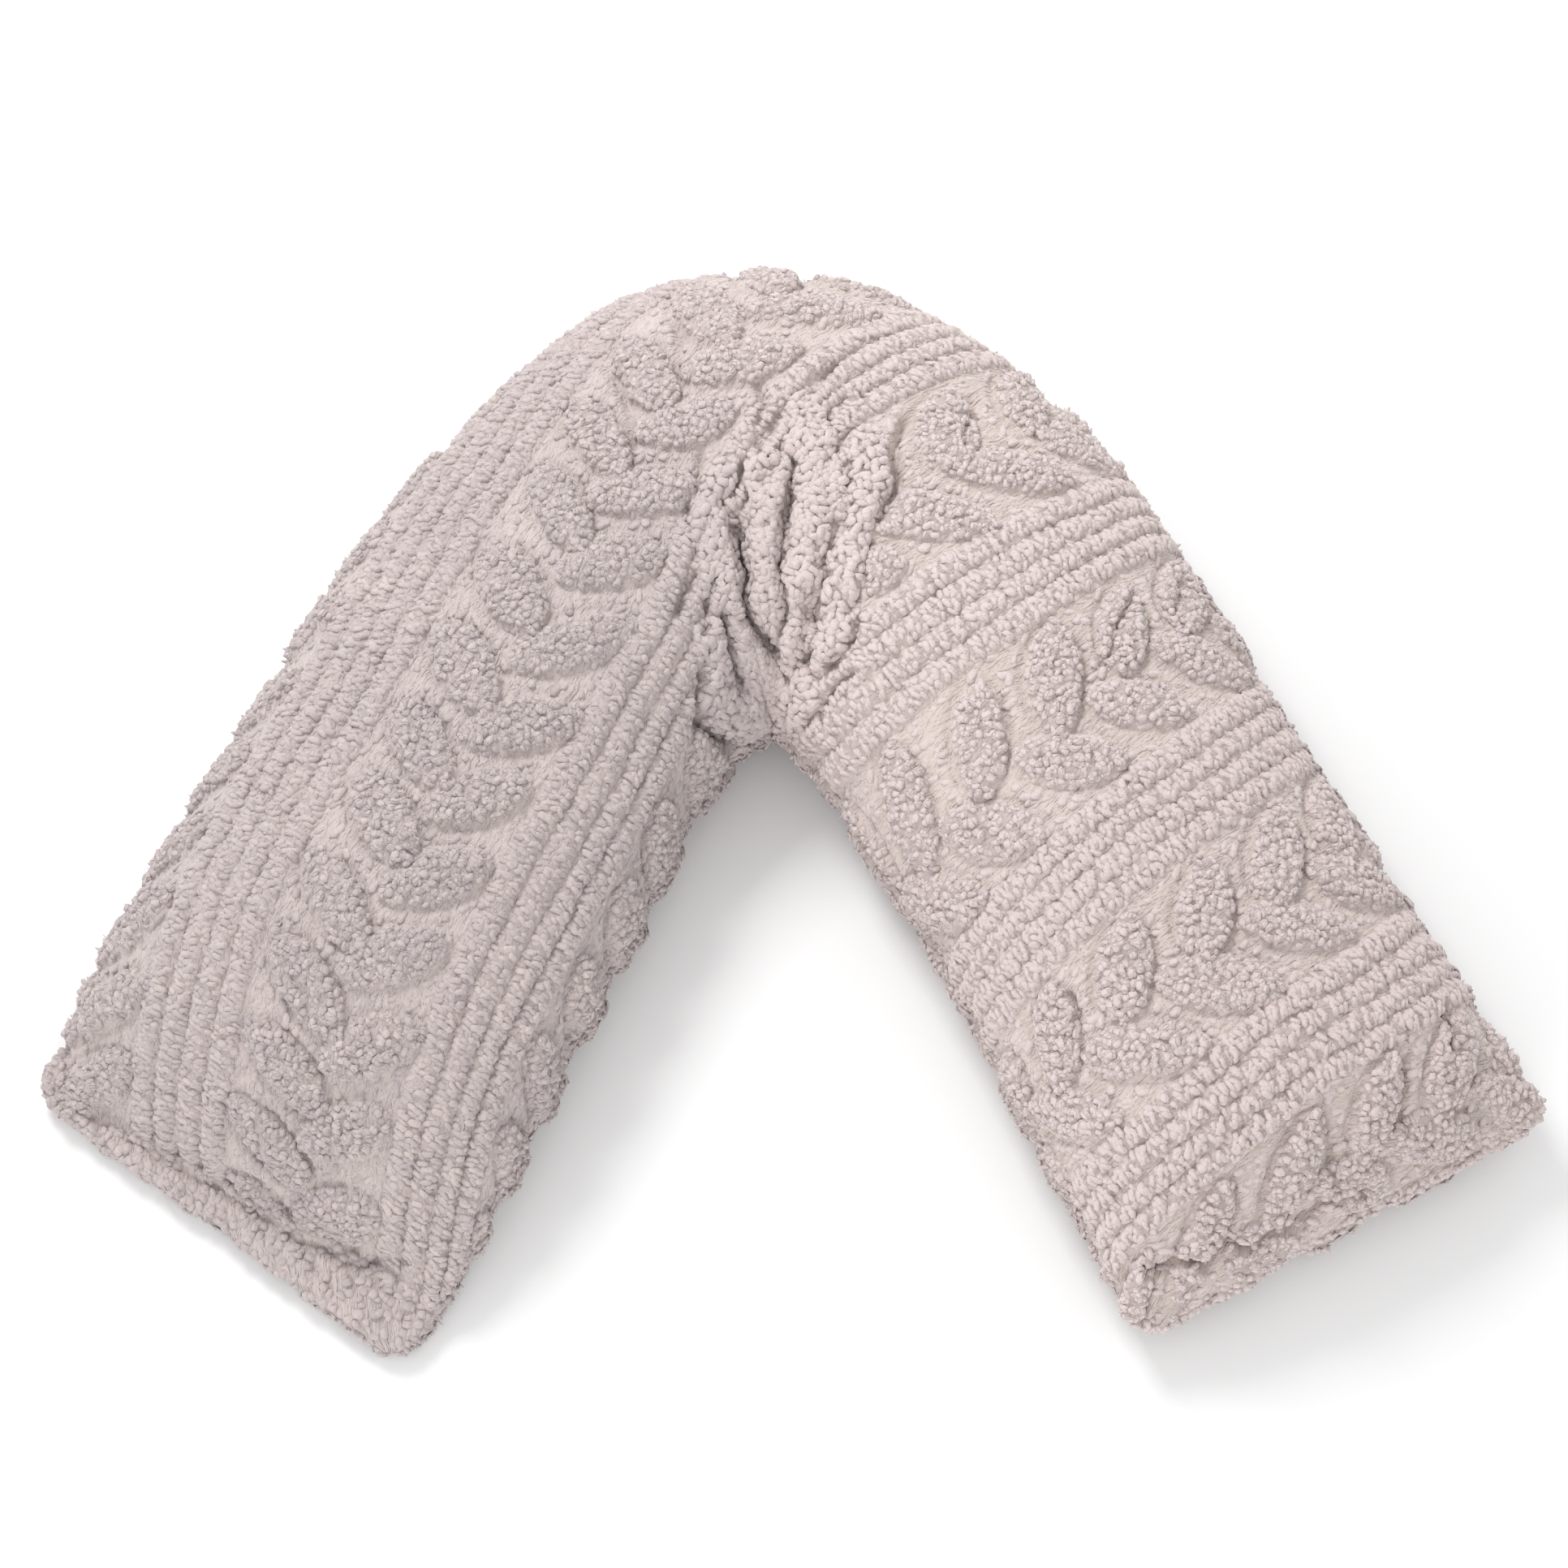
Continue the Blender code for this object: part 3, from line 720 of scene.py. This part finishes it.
def carved_face(rows, face, flip, folded):
    """A face with its carving and folds, and the measures kept for the curls and the materials."""
    across, along = cloth_places(rows, face)
    nap = rows["turn"][:, None] / min(rows["turn"]) + 0 * across
    height, ribs, pads, creases, across, along = carved(across, along, nap)
    plan_x, plan_y = face[:, :, 0], face[:, :, 1]
    drawn = rope_height = rope = slack = depth = np.zeros_like(height)
    if folded:
        from_gather = np.hypot((plan_x - GATHER_X) / GATHER_WIDE, (plan_y - GATHER_Y) / GATHER_LONG)
        drawn = ease(2 - 2 * from_gather)
        shaken_x, shaken_y = crumpled(plan_x, plan_y)
        rope_height, rope = gathered_ropes(shaken_x, shaken_y)
        depth = crease_depth(shaken_x, shaken_y)
        slack = slack_strip(face)
    calm = (1 - GATHER_CALM * drawn) * (1 - ROPE_CALM * rope) * (1 - slack)
    relief = (height - CARVING_SINK) * calm + rope_height * (ROPE_FLAT + (1 - ROPE_FLAT) * drawn)
    relief = relief - GATHER_SINK * drawn + wave(plan_x, plan_y, "shag") * slack
    rim = rim_distance(face)
    relief = relief * ease(rim / RELIEF_RIM) - depth * ease(rim / SEAM_ROUND)
    shaped = face + outward(face, flip) * relief[:, :, None]
    push = wave(plan_x, plan_y, "ragged rim") * np.exp(-rim / RAGGED_FADE)
    push = push - SEAM_SINK * (1 - round_over(rim, SEAM_ROUND))
    out = rim_outward(face)
    shaped[:, :, :2] += out * push[:, :, None]
    return shaped, {
        "cloth": np.dstack([across, along, 0 * across]) * MM,
        "rib": ribs * calm,
        "pad": pads * calm,
        "crease": np.maximum(depth, creases),
        "rim": rim,
        "rope": rope,
        "slack": slack,
        "nap": nap,
        "out": np.dstack([out, 0 * rim]),
    }


print("the gather at the bend is", 2 * GATHER_WIDE, "mm wide and", 2 * GATHER_LONG, "mm long")

# %% Make the panels
FRONT_ROWS = 600
FRONT_CUTS = 166
BACK_ROWS = 320
BACK_CUTS = 120
RESTING = 0.5


def quads(shape, flipped):
    """Four-sided faces of a grid of points with this many rows and columns."""
    numbers = np.arange(shape[0] * shape[1]).reshape(shape)
    corners = [numbers[:-1, :-1], numbers[1:, :-1], numbers[1:, 1:], numbers[:-1, 1:]]
    if flipped:
        corners.reverse()
    return np.stack(corners, axis=2).reshape(-1, 4).tolist()


def mesh_object(name, points, faces, measures):
    """A smooth mesh object from points in metres, with measures kept on its points."""
    mesh = bpy.data.meshes.new(name)
    mesh.from_pydata(points.reshape(-1, 3).tolist(), [], faces)
    for measure, values in measures.items():
        vector = values.shape == points.shape
        attribute = mesh.attributes.new(measure, "FLOAT_VECTOR" if vector else "FLOAT", "POINT")
        attribute.data.foreach_set("vector" if vector else "value", values.ravel().astype(np.float32))
    mesh.shade_smooth()
    item = bpy.data.objects.new(name, mesh)
    bpy.context.scene.collection.objects.link(item)
    return item


front_rows = section_rows(FRONT_ROWS)
back_rows = section_rows(BACK_ROWS)
front = evened(filled_form(front_rows)[0], FRONT_CUTS)
back = evened(filled_form(back_rows)[1], BACK_CUTS)
front, front_measures = carved_face(front_rows, front, 1, True)
smooth_back = back
back, back_measures = carved_face(back_rows, back, -1, False)
back = np.where(smooth_back[:, :, 2:] < RESTING, smooth_back, back)
back[:, :, 2] = np.maximum(back[:, :, 2], 0)

both = np.concatenate([front.reshape(-1, 3), back.reshape(-1, 3)])
middle = (both.min(axis=0) + both.max(axis=0)) / 2
home = (low + high) / 2
SHIFT = np.array([home.x - middle[0] * MM, home.y - middle[1] * MM, 0])
front_faces, back_faces = quads(front.shape[:2], False), quads(back.shape[:2], True)
front_panel = mesh_object("front_panel", front * MM + SHIFT, front_faces, front_measures)
back_panel = mesh_object("back_panel", back * MM + SHIFT, back_faces, back_measures)
print("front triangles", 2 * len(front_faces), "back", 2 * len(back_faces))

# %% [markdown]
# ## Curls of pile
#
# Sherpa pile stands in separate curls with dark gaps between them. They could be left to bump, but
# then the outline stays hard. So each curl is a small closed roll with blunt tips, half sunk in the
# panel, and each small cell of the flat cloth gets one. Curls on a pad lie any way, those on a rib
# lie across it and bend over its back, and the shorn ground has sparse, flat locks along the ribs.
# The ropes at the bend carry the widest curls. Tufts on the seam and on the left end's strip point
# out over the edge, and the back has thin, plain locks.

# %% Kinds of curl, in mm and degrees
# Each kind's shade is how much painted shade darkens the low side of its curls.
CURL_COLUMNS = (
    "pitch", "length", "width", "height", "bend", "droop", "lift", "lie", "spin", "rings", "sides",
    "shade",
)
CURLS = {
    "pad_curls": (5.1, 8.6, 6.5, 3.0, 1.8, 0.7, -1.0, 0, 90, 2, 7, 0.6),
    "rib_curls": (5.0, 10.0, 5.5, 2.1, 2.2, 1.2, -0.8, 0, 38, 2, 6, 0.6),
    "ground_locks": (9.5, 13.0, 7.0, 1.6, 2.4, 0.3, -1.6, 90, 40, 2, 6, 0.1),
    "rope_curls": (5.2, 11.0, 7.4, 2.6, 2.5, 0.6, 1.0, 0, 180, 2, 6, 0.6),
    "edge_tufts": (6.2, 8.5, 7.0, 3.6, 1.5, 1.0, -1.0, 0, 90, 2, 6, 0.2),
    "back_locks": (6.2, 10.0, 5.0, 1.5, 2.2, 0.5, 0.8, 0, 90, 2, 3, 0.5),
}
for kind_name, kind in CURLS.items():
    print(kind_name, "are about", kind[1], "mm long, one in each", kind[0], "mm square")

# %% Where the curls stand
PILE_START = 0.3
RIB_START = 0.45
TUFT_BAND = 13.0
CREASE_BARE = 12.0
SECTOR_ROWS = 60


def across_the_ribs(face, across, along):
    """Unit vectors on a face that point across the ribs."""
    step_row, step_cut = np.gradient(face, axis=0), np.gradient(face, axis=1)
    across_row, across_cut = np.gradient(across, axis=0), np.gradient(across, axis=1)
    along_row, along_cut = np.gradient(along, axis=0), np.gradient(along, axis=1)
    sense = np.sign(across_row * along_cut - across_cut * along_row)
    return unit((along_cut * sense)[:, :, None] * step_row - (along_row * sense)[:, :, None] * step_cut)


def scattered(across, along, pitch, wanted, seed):
    """Numbers of grid points, one for each cell of cloth that is wanted."""
    cell_x, cell_y = np.floor(across / pitch), np.floor(along / pitch)
    spot_x = (cell_x + chance(cell_x, cell_y, seed)) * pitch
    spot_y = (cell_y + chance(cell_x, cell_y, seed + 1)) * pitch
    away = np.hypot(across - spot_x, along - spot_y)
    sector = np.arange(away.shape[0])[:, None] // SECTOR_ROWS + np.zeros_like(away)
    inside = np.flatnonzero(wanted)
    keys = np.stack([key.ravel()[inside] for key in (cell_x, cell_y, sector)])
    order = np.lexsort((away.ravel()[inside], *keys))
    keys = keys[:, order]
    first = np.concatenate([[True], np.any(keys[:, 1:] != keys[:, :-1], axis=0)])
    return np.sort(inside[order[first]])


on_strip = front_measures["slack"] > PILE_START
on_rope = front_measures["rope"] > PILE_START
on_pad = (front_measures["pad"] > PILE_START) & ~on_rope
on_rib = (front_measures["rib"] > RIB_START) & ~on_pad & ~on_rope
open_cloth = front_measures["crease"] < CREASE_BARE
front_wanted = {
    "pad_curls": on_pad & open_cloth,
    "rib_curls": on_rib & open_cloth,
    "rope_curls": on_rope,
    "ground_locks": ~on_pad & ~on_rib & ~on_rope & ~on_strip & open_cloth,
    "edge_tufts": on_strip | (front_measures["rim"] < TUFT_BAND),
}
back_wanted = {
    "back_locks": smooth_back[:, :, 2] > RESTING,
    "edge_tufts": back_measures["rim"] < TUFT_BAND,
}
for kind_name, place in front_wanted.items():
    print(kind_name, "can stand on", round(100 * place.mean()), "% of the front")

# %% Curls as small closed rolls
CURL_LUCK = 0.25
ROLL_BLUNT = 0.6
TIP_TOP = 0.3


def roll_faces(count, rings, sides):
    """Faces of rolls whose points come ring after ring, with their two tips last."""
    ring = np.arange(rings * sides).reshape(rings, sides)
    beside = np.roll(ring, -1, axis=1)
    walls = np.stack([ring[:-1], beside[:-1], beside[1:], ring[1:]], axis=2).reshape(-1, 4)
    first_tip, last_tip = rings * sides, rings * sides + 1
    ends = [(first_tip, b, a) for a, b in zip(ring[0], beside[0])]
    ends += [(last_tip, a, b) for a, b in zip(ring[-1], beside[-1])]
    starts = (np.arange(count) * (rings * sides + 2))[:, None, None]
    faces = (walls[None] + starts).reshape(-1, 4).tolist()
    return faces + (np.array(ends)[None] + starts).reshape(-1, 3).tolist()


def curl_mesh(name, roots, normal, over, nap, kind, seed):
    """Small closed rolls of pile as one joined mesh, from their middles in mm."""
    luck = np.random.default_rng(seed)
    count, rings, sides = len(roots), kind["rings"], kind["sides"]
    each = (count, 1, 1, 1)
    length, width, height = (kind[size] * luck.uniform(1 - CURL_LUCK, 1 + CURL_LUCK, each)
                             for size in ("length", "width", "height"))
    bend = kind["bend"] * luck.uniform(-1, 1, each)
    rise = height * luck.uniform(-CURL_LUCK, CURL_LUCK, each)
    spin = np.radians(kind["lie"] + kind["spin"] * luck.uniform(-1, 1, each))
    roots, normal, over = (item[:, None, None, :] for item in (roots, normal, over))
    heading = over * np.cos(spin) + np.cross(normal, over) * np.sin(spin)
    side = np.cross(normal, heading)
    station = np.linspace(-1, 1, rings + 2)[None, :, None, None]
    station = np.sign(station) * np.abs(station) ** ROLL_BLUNT
    spine = roots + heading * length / 2 * station + side * bend * station**2
    spine = spine + normal * (rise + kind["lift"] * (1 + station) / 2 - kind["droop"] * station**2)
    angle = (2 * np.pi * (np.arange(sides) + 0.5) / sides)[None, None, :, None]
    round_it = side * width / 2 * np.cos(angle) + normal * height * np.sin(angle)
    body = (spine + np.sqrt(1 - station**2) * round_it)[:, 1:-1].reshape(count, rings * sides, 3)
    points = np.concatenate([body, spine[:, 0], spine[:, -1]], axis=1)
    points[:, :, 2] = np.maximum(points[:, :, 2], 0)

    # How high each point stands on its roll; the materials paint shade on the low ones.
    top = np.concatenate([np.tile((np.sin(angle.ravel()) + 1) / 2, rings), [TIP_TOP, TIP_TOP]])
    measures = {
        "tone": np.repeat(luck.uniform(0, 1, (count, 1)), points.shape[1], axis=1),
        "top": 1 - kind["shade"] * (1 - np.tile(top, (count, 1))),
        "nap": np.repeat(nap[:, None], points.shape[1], axis=1),
    }
    return mesh_object(name, points * MM + SHIFT, roll_faces(count, rings, sides), measures)


rib_curl = dict(zip(CURL_COLUMNS, CURLS["rib_curls"]))
print("a rib curl has", len(roll_faces(1, rib_curl["rings"], rib_curl["sides"])), "faces")

# %% Make the curls
TRIANGLES_A_PIECE = 195000


def curls_on(face, measures, wanted, flip, panel_name, seed):
    """The curls of one panel, kind by kind, in pieces that stay light enough."""
    across, along = measures["cloth"][:, :, 0] / MM, measures["cloth"][:, :, 1] / MM
    places, normal = face.reshape(-1, 3), outward(face, flip).reshape(-1, 3)
    over = across_the_ribs(face, across, along).reshape(-1, 3)
    out = measures["out"].reshape(-1, 3)
    nap = measures["nap"].ravel()
    made = []
    for kind_name, place in wanted.items():
        kind = dict(zip(CURL_COLUMNS, CURLS[kind_name]))
        chosen = scattered(across, along, kind["pitch"], place, seed)
        triangles = 2 * kind["rings"] * kind["sides"] * len(chosen)
        pieces = math.ceil(triangles / TRIANGLES_A_PIECE)
        for number, group in enumerate(np.array_split(chosen, pieces)):
            name = f"{panel_name}_{kind_name}_{number + 1}"
            heading = out[group] if kind_name == "edge_tufts" else over[group]
            made.append(curl_mesh(name, places[group], normal[group], heading, nap[group], kind,
                                  seed + number))
        print(panel_name, kind_name, "curls:", len(chosen), "pieces:", pieces, "triangles:", triangles)
    return made


all_curls = curls_on(front, front_measures, front_wanted, 1, "front", SEEDS["front curls"])
all_curls += curls_on(back, back_measures, back_wanted, -1, "back", SEEDS["back curls"])

# %% [markdown]
# ## Materials
#
# The cover is polyester sherpa fleece, knitted, then brushed and carved. Its fibres scatter light, so
# it is very rough with a pale sheen at grazing angles. Pile that leans towards the light shows its dark
# side, so the arm whose nap leans against the light gets painted shade: its colour is mixed greyer.
# Fine hair could be grown on the panels instead, but it would hardly show at this distance, so the
# fibres are bump.

# %% Colours and nodes
def linear(code):
    """A colour given as sRGB hex, turned to linear for Blender."""
    channels = [int(code[start:start + 2], 16) / 255 for start in (1, 3, 5)]
    return tuple(c / 12.92 if c <= 0.04045 else ((c + 0.055) / 1.055) ** 2.4 for c in channels) + (1.0,)


def add_node(tree, kind, sockets=None, **settings):
    """Add a node with its settings, and set its sockets or link others into them."""
    node = tree.nodes.new(kind)
    for name, value in settings.items():
        setattr(node, name, value)
    for socket, value in (sockets or {}).items():
        if isinstance(value, bpy.types.NodeSocket):
            tree.links.new(value, node.inputs[socket])
        else:
            node.inputs[socket].default_value = value
    return node


print("a mid grey in linear light is", round(linear("#808080")[0], 3))

# %% What all the fleece shares
# Painted shade: the greyer colour of the arm whose nap leans against the light.
FLEECE_NAP_PAINTED_SHADE = linear("#B0A5A5")
FLEECE_WARM = linear("#CBBEB9")
# The colour of painted shade, for the cloth under the curls and for the curls' roots and cracks.
FLEECE_PAINTED_SHADE = linear("#A79A98")
FLEECE_SURFACE = {
    "Roughness": 0.95,
    "Specular IOR Level": 0.2,
    "Sheen Weight": 0.35,
    "Sheen Roughness": 0.5,
}
# A real fibre is far thinner than a pixel, so strands of many fibres are drawn at this size.
FIBRE_MM = 1.1
PATCH_MM = 90.0


def bare_fleece(name):
    """A fleece that has only its surface yet: the material, its nodes and its shader."""
    material = bpy.data.materials.new(name)
    material.use_nodes = True
    tree = material.node_tree
    shader = tree.nodes["Principled BSDF"]
    for socket, value in FLEECE_SURFACE.items():
        shader.inputs[socket].default_value = value
    return material, tree, shader


def pile_colour(tree, place, with_nap, tone=1.0):
    """The pile's colour: painted shade where the nap leans against the light, and warmer in wide
    patches.
    """
    nap = add_node(tree, "ShaderNodeAttribute", attribute_name="nap").outputs["Fac"]
    # The nap's share mixes in painted shade: the arm whose nap leans against the light is painted
    # greyer.
    lie = add_node(tree, "ShaderNodeMix", {"Factor": nap, "A": FLEECE_NAP_PAINTED_SHADE, "B": with_nap},
                   data_type="RGBA")
    patches = add_node(tree, "ShaderNodeTexNoise", {"Vector": place, "Scale": 1 / (PATCH_MM * MM)})
    warmth = add_node(tree, "ShaderNodeMath", {0: tone, 1: patches.outputs["Fac"]}, operation="MULTIPLY")
    colour = add_node(tree, "ShaderNodeMix", {"Factor": warmth.outputs[0], "A": lie.outputs["Result"],
                                              "B": FLEECE_WARM}, data_type="RGBA")
    return colour.outputs["Result"]


print("strands of", FIBRE_MM, "mm, and warm patches of", PATCH_MM, "mm")

# %% [markdown]
# ### The panels
#
# Between the curls the cloth itself shows. Its ground is shorn short and a little beige, and its short
# fibres are combed along the ribs, so the bump is drawn out that way. Under the ribs and pads it is
# painted darker, as painted shade, because little light comes down there.

# %% Fleece of the panels
FLEECE_GROUND = linear("#C9BAB2")
LOCK_MM = 3.6
COMBED = (1.0, 0.28, 1.0)


def sherpa_fleece():
    """Brushed and carved polyester fleece: dull and soft, with a combed grain on its shorn ground."""
    material, tree, shader = bare_fleece("sherpa_fleece")
    cloth = add_node(tree, "ShaderNodeAttribute", attribute_name="cloth").outputs["Vector"]
    rib = add_node(tree, "ShaderNodeAttribute", attribute_name="rib").outputs["Fac"]
    pad = add_node(tree, "ShaderNodeAttribute", attribute_name="pad").outputs["Fac"]

    combed = add_node(tree, "ShaderNodeMapping", {"Vector": cloth, "Scale": COMBED}).outputs[0]
    streaks = add_node(tree, "ShaderNodeTexNoise", {"Vector": combed, "Scale": 1 / (FIBRE_MM * MM),
                                                    "Detail": 3.0, "Distortion": 0.6})
    locks = add_node(tree, "ShaderNodeTexNoise", {"Vector": combed, "Scale": 1 / (LOCK_MM * MM),
                                                  "Detail": 2.0, "Distortion": 1.2})
    fine = add_node(tree, "ShaderNodeBump", {"Height": streaks.outputs["Fac"], "Strength": 0.8,
                                             "Distance": 1.5 * MM})
    bump = add_node(tree, "ShaderNodeBump", {"Height": locks.outputs["Fac"], "Strength": 0.9,
                                             "Distance": 4.0 * MM, "Normal": fine.outputs["Normal"]})
    tree.links.new(bump.outputs["Normal"], shader.inputs["Normal"])

    ground = pile_colour(tree, cloth, FLEECE_GROUND)
    # Painted shade: the cloth under the ribs and pads, between their curls, is mixed towards the shade
    # colour.
    under = add_node(tree, "ShaderNodeMath", {0: rib, 1: pad}, operation="MAXIMUM").outputs[0]
    shade = add_node(tree, "ShaderNodeMapRange", {"Value": under, "To Min": 0.1, "To Max": 0.6})
    colour = add_node(tree, "ShaderNodeMix", {"Factor": shade.outputs[0], "A": ground, "B": FLEECE_PAINTED_SHADE},
                      data_type="RGBA")
    tree.links.new(colour.outputs["Result"], shader.inputs["Base Color"])
    return material


fleece = sherpa_fleece()
print(fleece.name, "has", len(fleece.node_tree.nodes), "nodes")

# %% [markdown]
# ### The curls
#
# The curls have two finishes of the same fleece. Both are painted darker towards their roots and in the
# cracks between their lumps, as painted shade, because little light comes down there, and the one for
# the pads has deeper cracks. The cracks are the borders of scattered cells, which is how curled pile
# parts.

# %% Fleece of the curls
FLEECE = linear("#CEC0BE")
LUMP_MM = 6.5


def curled_pile(name, crack_bump, crack_shade):
    """The same fleece where it stands in curls: painted shade on its roots and in the cracks between its
    lumps.
    """
    material, tree, shader = bare_fleece(name)
    place = add_node(tree, "ShaderNodeTexCoord").outputs["Object"]
    tone = add_node(tree, "ShaderNodeAttribute", attribute_name="tone").outputs["Fac"]
    top = add_node(tree, "ShaderNodeAttribute", attribute_name="top").outputs["Fac"]

    waver = add_node(tree, "ShaderNodeTexNoise", {"Vector": place, "Scale": 1 / (2 * LUMP_MM * MM)})
    spread = add_node(tree, "ShaderNodeVectorMath", {0: waver.outputs["Color"],
                                                     "Scale": 1.2 * LUMP_MM * MM}, operation="SCALE")
    shifted = add_node(tree, "ShaderNodeVectorMath", {0: place, 1: spread.outputs[0]}, operation="ADD")
    lumps = add_node(tree, "ShaderNodeTexVoronoi", {"Vector": shifted.outputs[0],
                                                    "Scale": 1 / (LUMP_MM * MM)},
                     feature="DISTANCE_TO_EDGE").outputs["Distance"]
    cracks = add_node(tree, "ShaderNodeMapRange", {"Value": lumps, "From Max": 0.1}).outputs[0]

    fibres = add_node(tree, "ShaderNodeTexNoise", {"Vector": place, "Scale": 1 / (FIBRE_MM * MM),
                                                   "Detail": 3.0})
    fine = add_node(tree, "ShaderNodeBump", {"Height": fibres.outputs["Fac"], "Strength": 0.8,
                                             "Distance": 1.0 * MM})
    bump = add_node(tree, "ShaderNodeBump", {"Height": cracks, "Strength": crack_bump,
                                             "Distance": 1.5 * MM, "Normal": fine.outputs["Normal"]})
    tree.links.new(bump.outputs["Normal"], shader.inputs["Normal"])

    light = pile_colour(tree, place, FLEECE, tone)
    # Painted shade: the roots and the cracks are mixed towards the shade colour.
    root = add_node(tree, "ShaderNodeMapRange", {"Value": top, "From Min": 0.3, "From Max": 0.65,
                                                 "To Min": 1.0, "To Max": 0.0}).outputs[0]
    gap = add_node(tree, "ShaderNodeMapRange", {"Value": cracks, "To Min": crack_shade,
                                                "To Max": 0.0}).outputs[0]
    depth = add_node(tree, "ShaderNodeMath", {0: root, 1: gap}, operation="MAXIMUM").outputs[0]
    colour = add_node(tree, "ShaderNodeMix", {"Factor": depth, "A": light, "B": FLEECE_PAINTED_SHADE},
                      data_type="RGBA")
    tree.links.new(colour.outputs["Result"], shader.inputs["Base Color"])
    return material


lumpy_pile = curled_pile("lumpy_sherpa_pile", 0.6, 0.2)
combed_pile = curled_pile("combed_sherpa_pile", 0.3, 0.1)
for pile in (lumpy_pile, combed_pile):
    print(pile.name, "has", len(pile.node_tree.nodes), "nodes")

# %% Dress the pieces
for panel in (front_panel, back_panel):
    panel.data.materials.append(fleece)
    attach(panel, "root")
    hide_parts("v_pillow")
for curls in all_curls:
    curls.data.materials.append(lumpy_pile if "pad_curls" in curls.name else combed_pile)
    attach(curls, "root")
    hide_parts("v_pillow")
print("two panels and", len(all_curls), "pieces of curls are dressed")

# %% [markdown]
# ## Floor, light and camera
#
# The pillow lies on a plain white floor in a light studio. A soft lamp stands high at the back left, a
# weaker and lower one in front fills the shadows on the pillow's sides, and the pale room lights the
# rest. A picture of a studio could light it too, but lamps are easier to place. The camera looks down
# at 70 degrees, as the photograph's does.

# %% Floor, in metres
FLOOR_HALF = 12.0
FLOOR_WHITE = linear("#E5E5E5")


def white_floor():
    """A plain matt white floor, which shows only the pillow's soft shadow."""
    corners = [(-FLOOR_HALF, -FLOOR_HALF, 0), (FLOOR_HALF, -FLOOR_HALF, 0),
               (FLOOR_HALF, FLOOR_HALF, 0), (-FLOOR_HALF, FLOOR_HALF, 0)]
    mesh = bpy.data.meshes.new("floor")
    mesh.from_pydata(corners, [], [(0, 1, 2, 3)])
    floor = bpy.data.objects.new("floor", mesh)
    bpy.context.scene.collection.objects.link(floor)
    paint = bpy.data.materials.new("matt_white_paint")
    paint.use_nodes = True
    shader = paint.node_tree.nodes["Principled BSDF"]
    shader.inputs["Base Color"].default_value = FLOOR_WHITE
    shader.inputs["Roughness"].default_value = 0.9
    mesh.materials.append(paint)


white_floor()
print("the floor is", 2 * FLOOR_HALF, "m wide")

# %% Light, in metres and watts
# The place of each square lamp, its size and its power.
LAMPS = {
    "soft_lamp": ((-0.9, 1.45, 1.9), 0.8, 40.0),
    "fill_lamp": ((-0.5, -2.1, 0.5), 0.9, 14.0),
}
ROOM_LIGHT = 1.03


def studio_light():
    """A soft lamp, a weaker one that fills the shadows, and the pale room round them."""
    for name, (place, size, watts) in LAMPS.items():
        lamp = bpy.data.lights.new(name, "AREA")
        lamp.size = size
        lamp.energy = watts
        stand = bpy.data.objects.new(name, lamp)
        stand.location = place
        stand.rotation_euler = (-Vector(place)).to_track_quat("-Z", "Y").to_euler()
        bpy.context.scene.collection.objects.link(stand)
    room = bpy.data.worlds.new("pale_room")
    room.use_nodes = True
    air = room.node_tree.nodes["Background"]
    air.inputs["Color"].default_value = (1, 1, 1, 1)
    air.inputs["Strength"].default_value = ROOM_LIGHT
    bpy.context.scene.world = room
    bpy.context.scene.view_settings.view_transform = "Standard"


studio_light()
print(len(LAMPS), "lamps in a pale room")

# %% Camera, in degrees and metres
CAMERA_HEIGHT_ANGLE = 70.0
CAMERA_DISTANCE = 2.4
AIM_HEIGHT = 0.06
SENSOR_MM = 36.0
IMAGE_SIDE = 1932
PIXELS_A_METRE = 1724


def photo_camera():
    """The camera at the photograph's angle, aimed at the middle of the pillow's drawing plan."""
    lens = bpy.data.cameras.new("camera")
    lens.sensor_width = SENSOR_MM
    lens.lens = SENSOR_MM * PIXELS_A_METRE * CAMERA_DISTANCE / IMAGE_SIDE
    camera = bpy.data.objects.new("camera", lens)
    tilt = math.radians(CAMERA_HEIGHT_ANGLE)
    aim = Vector((SHIFT[0], SHIFT[1], AIM_HEIGHT))
    camera.location = aim + CAMERA_DISTANCE * Vector((0, -math.cos(tilt), math.sin(tilt)))
    camera.rotation_euler = (math.pi / 2 - tilt, 0, 0)
    bpy.context.scene.collection.objects.link(camera)
    bpy.context.scene.camera = camera


photo_camera()
print("the lens is", round(bpy.context.scene.camera.data.lens), "mm long")
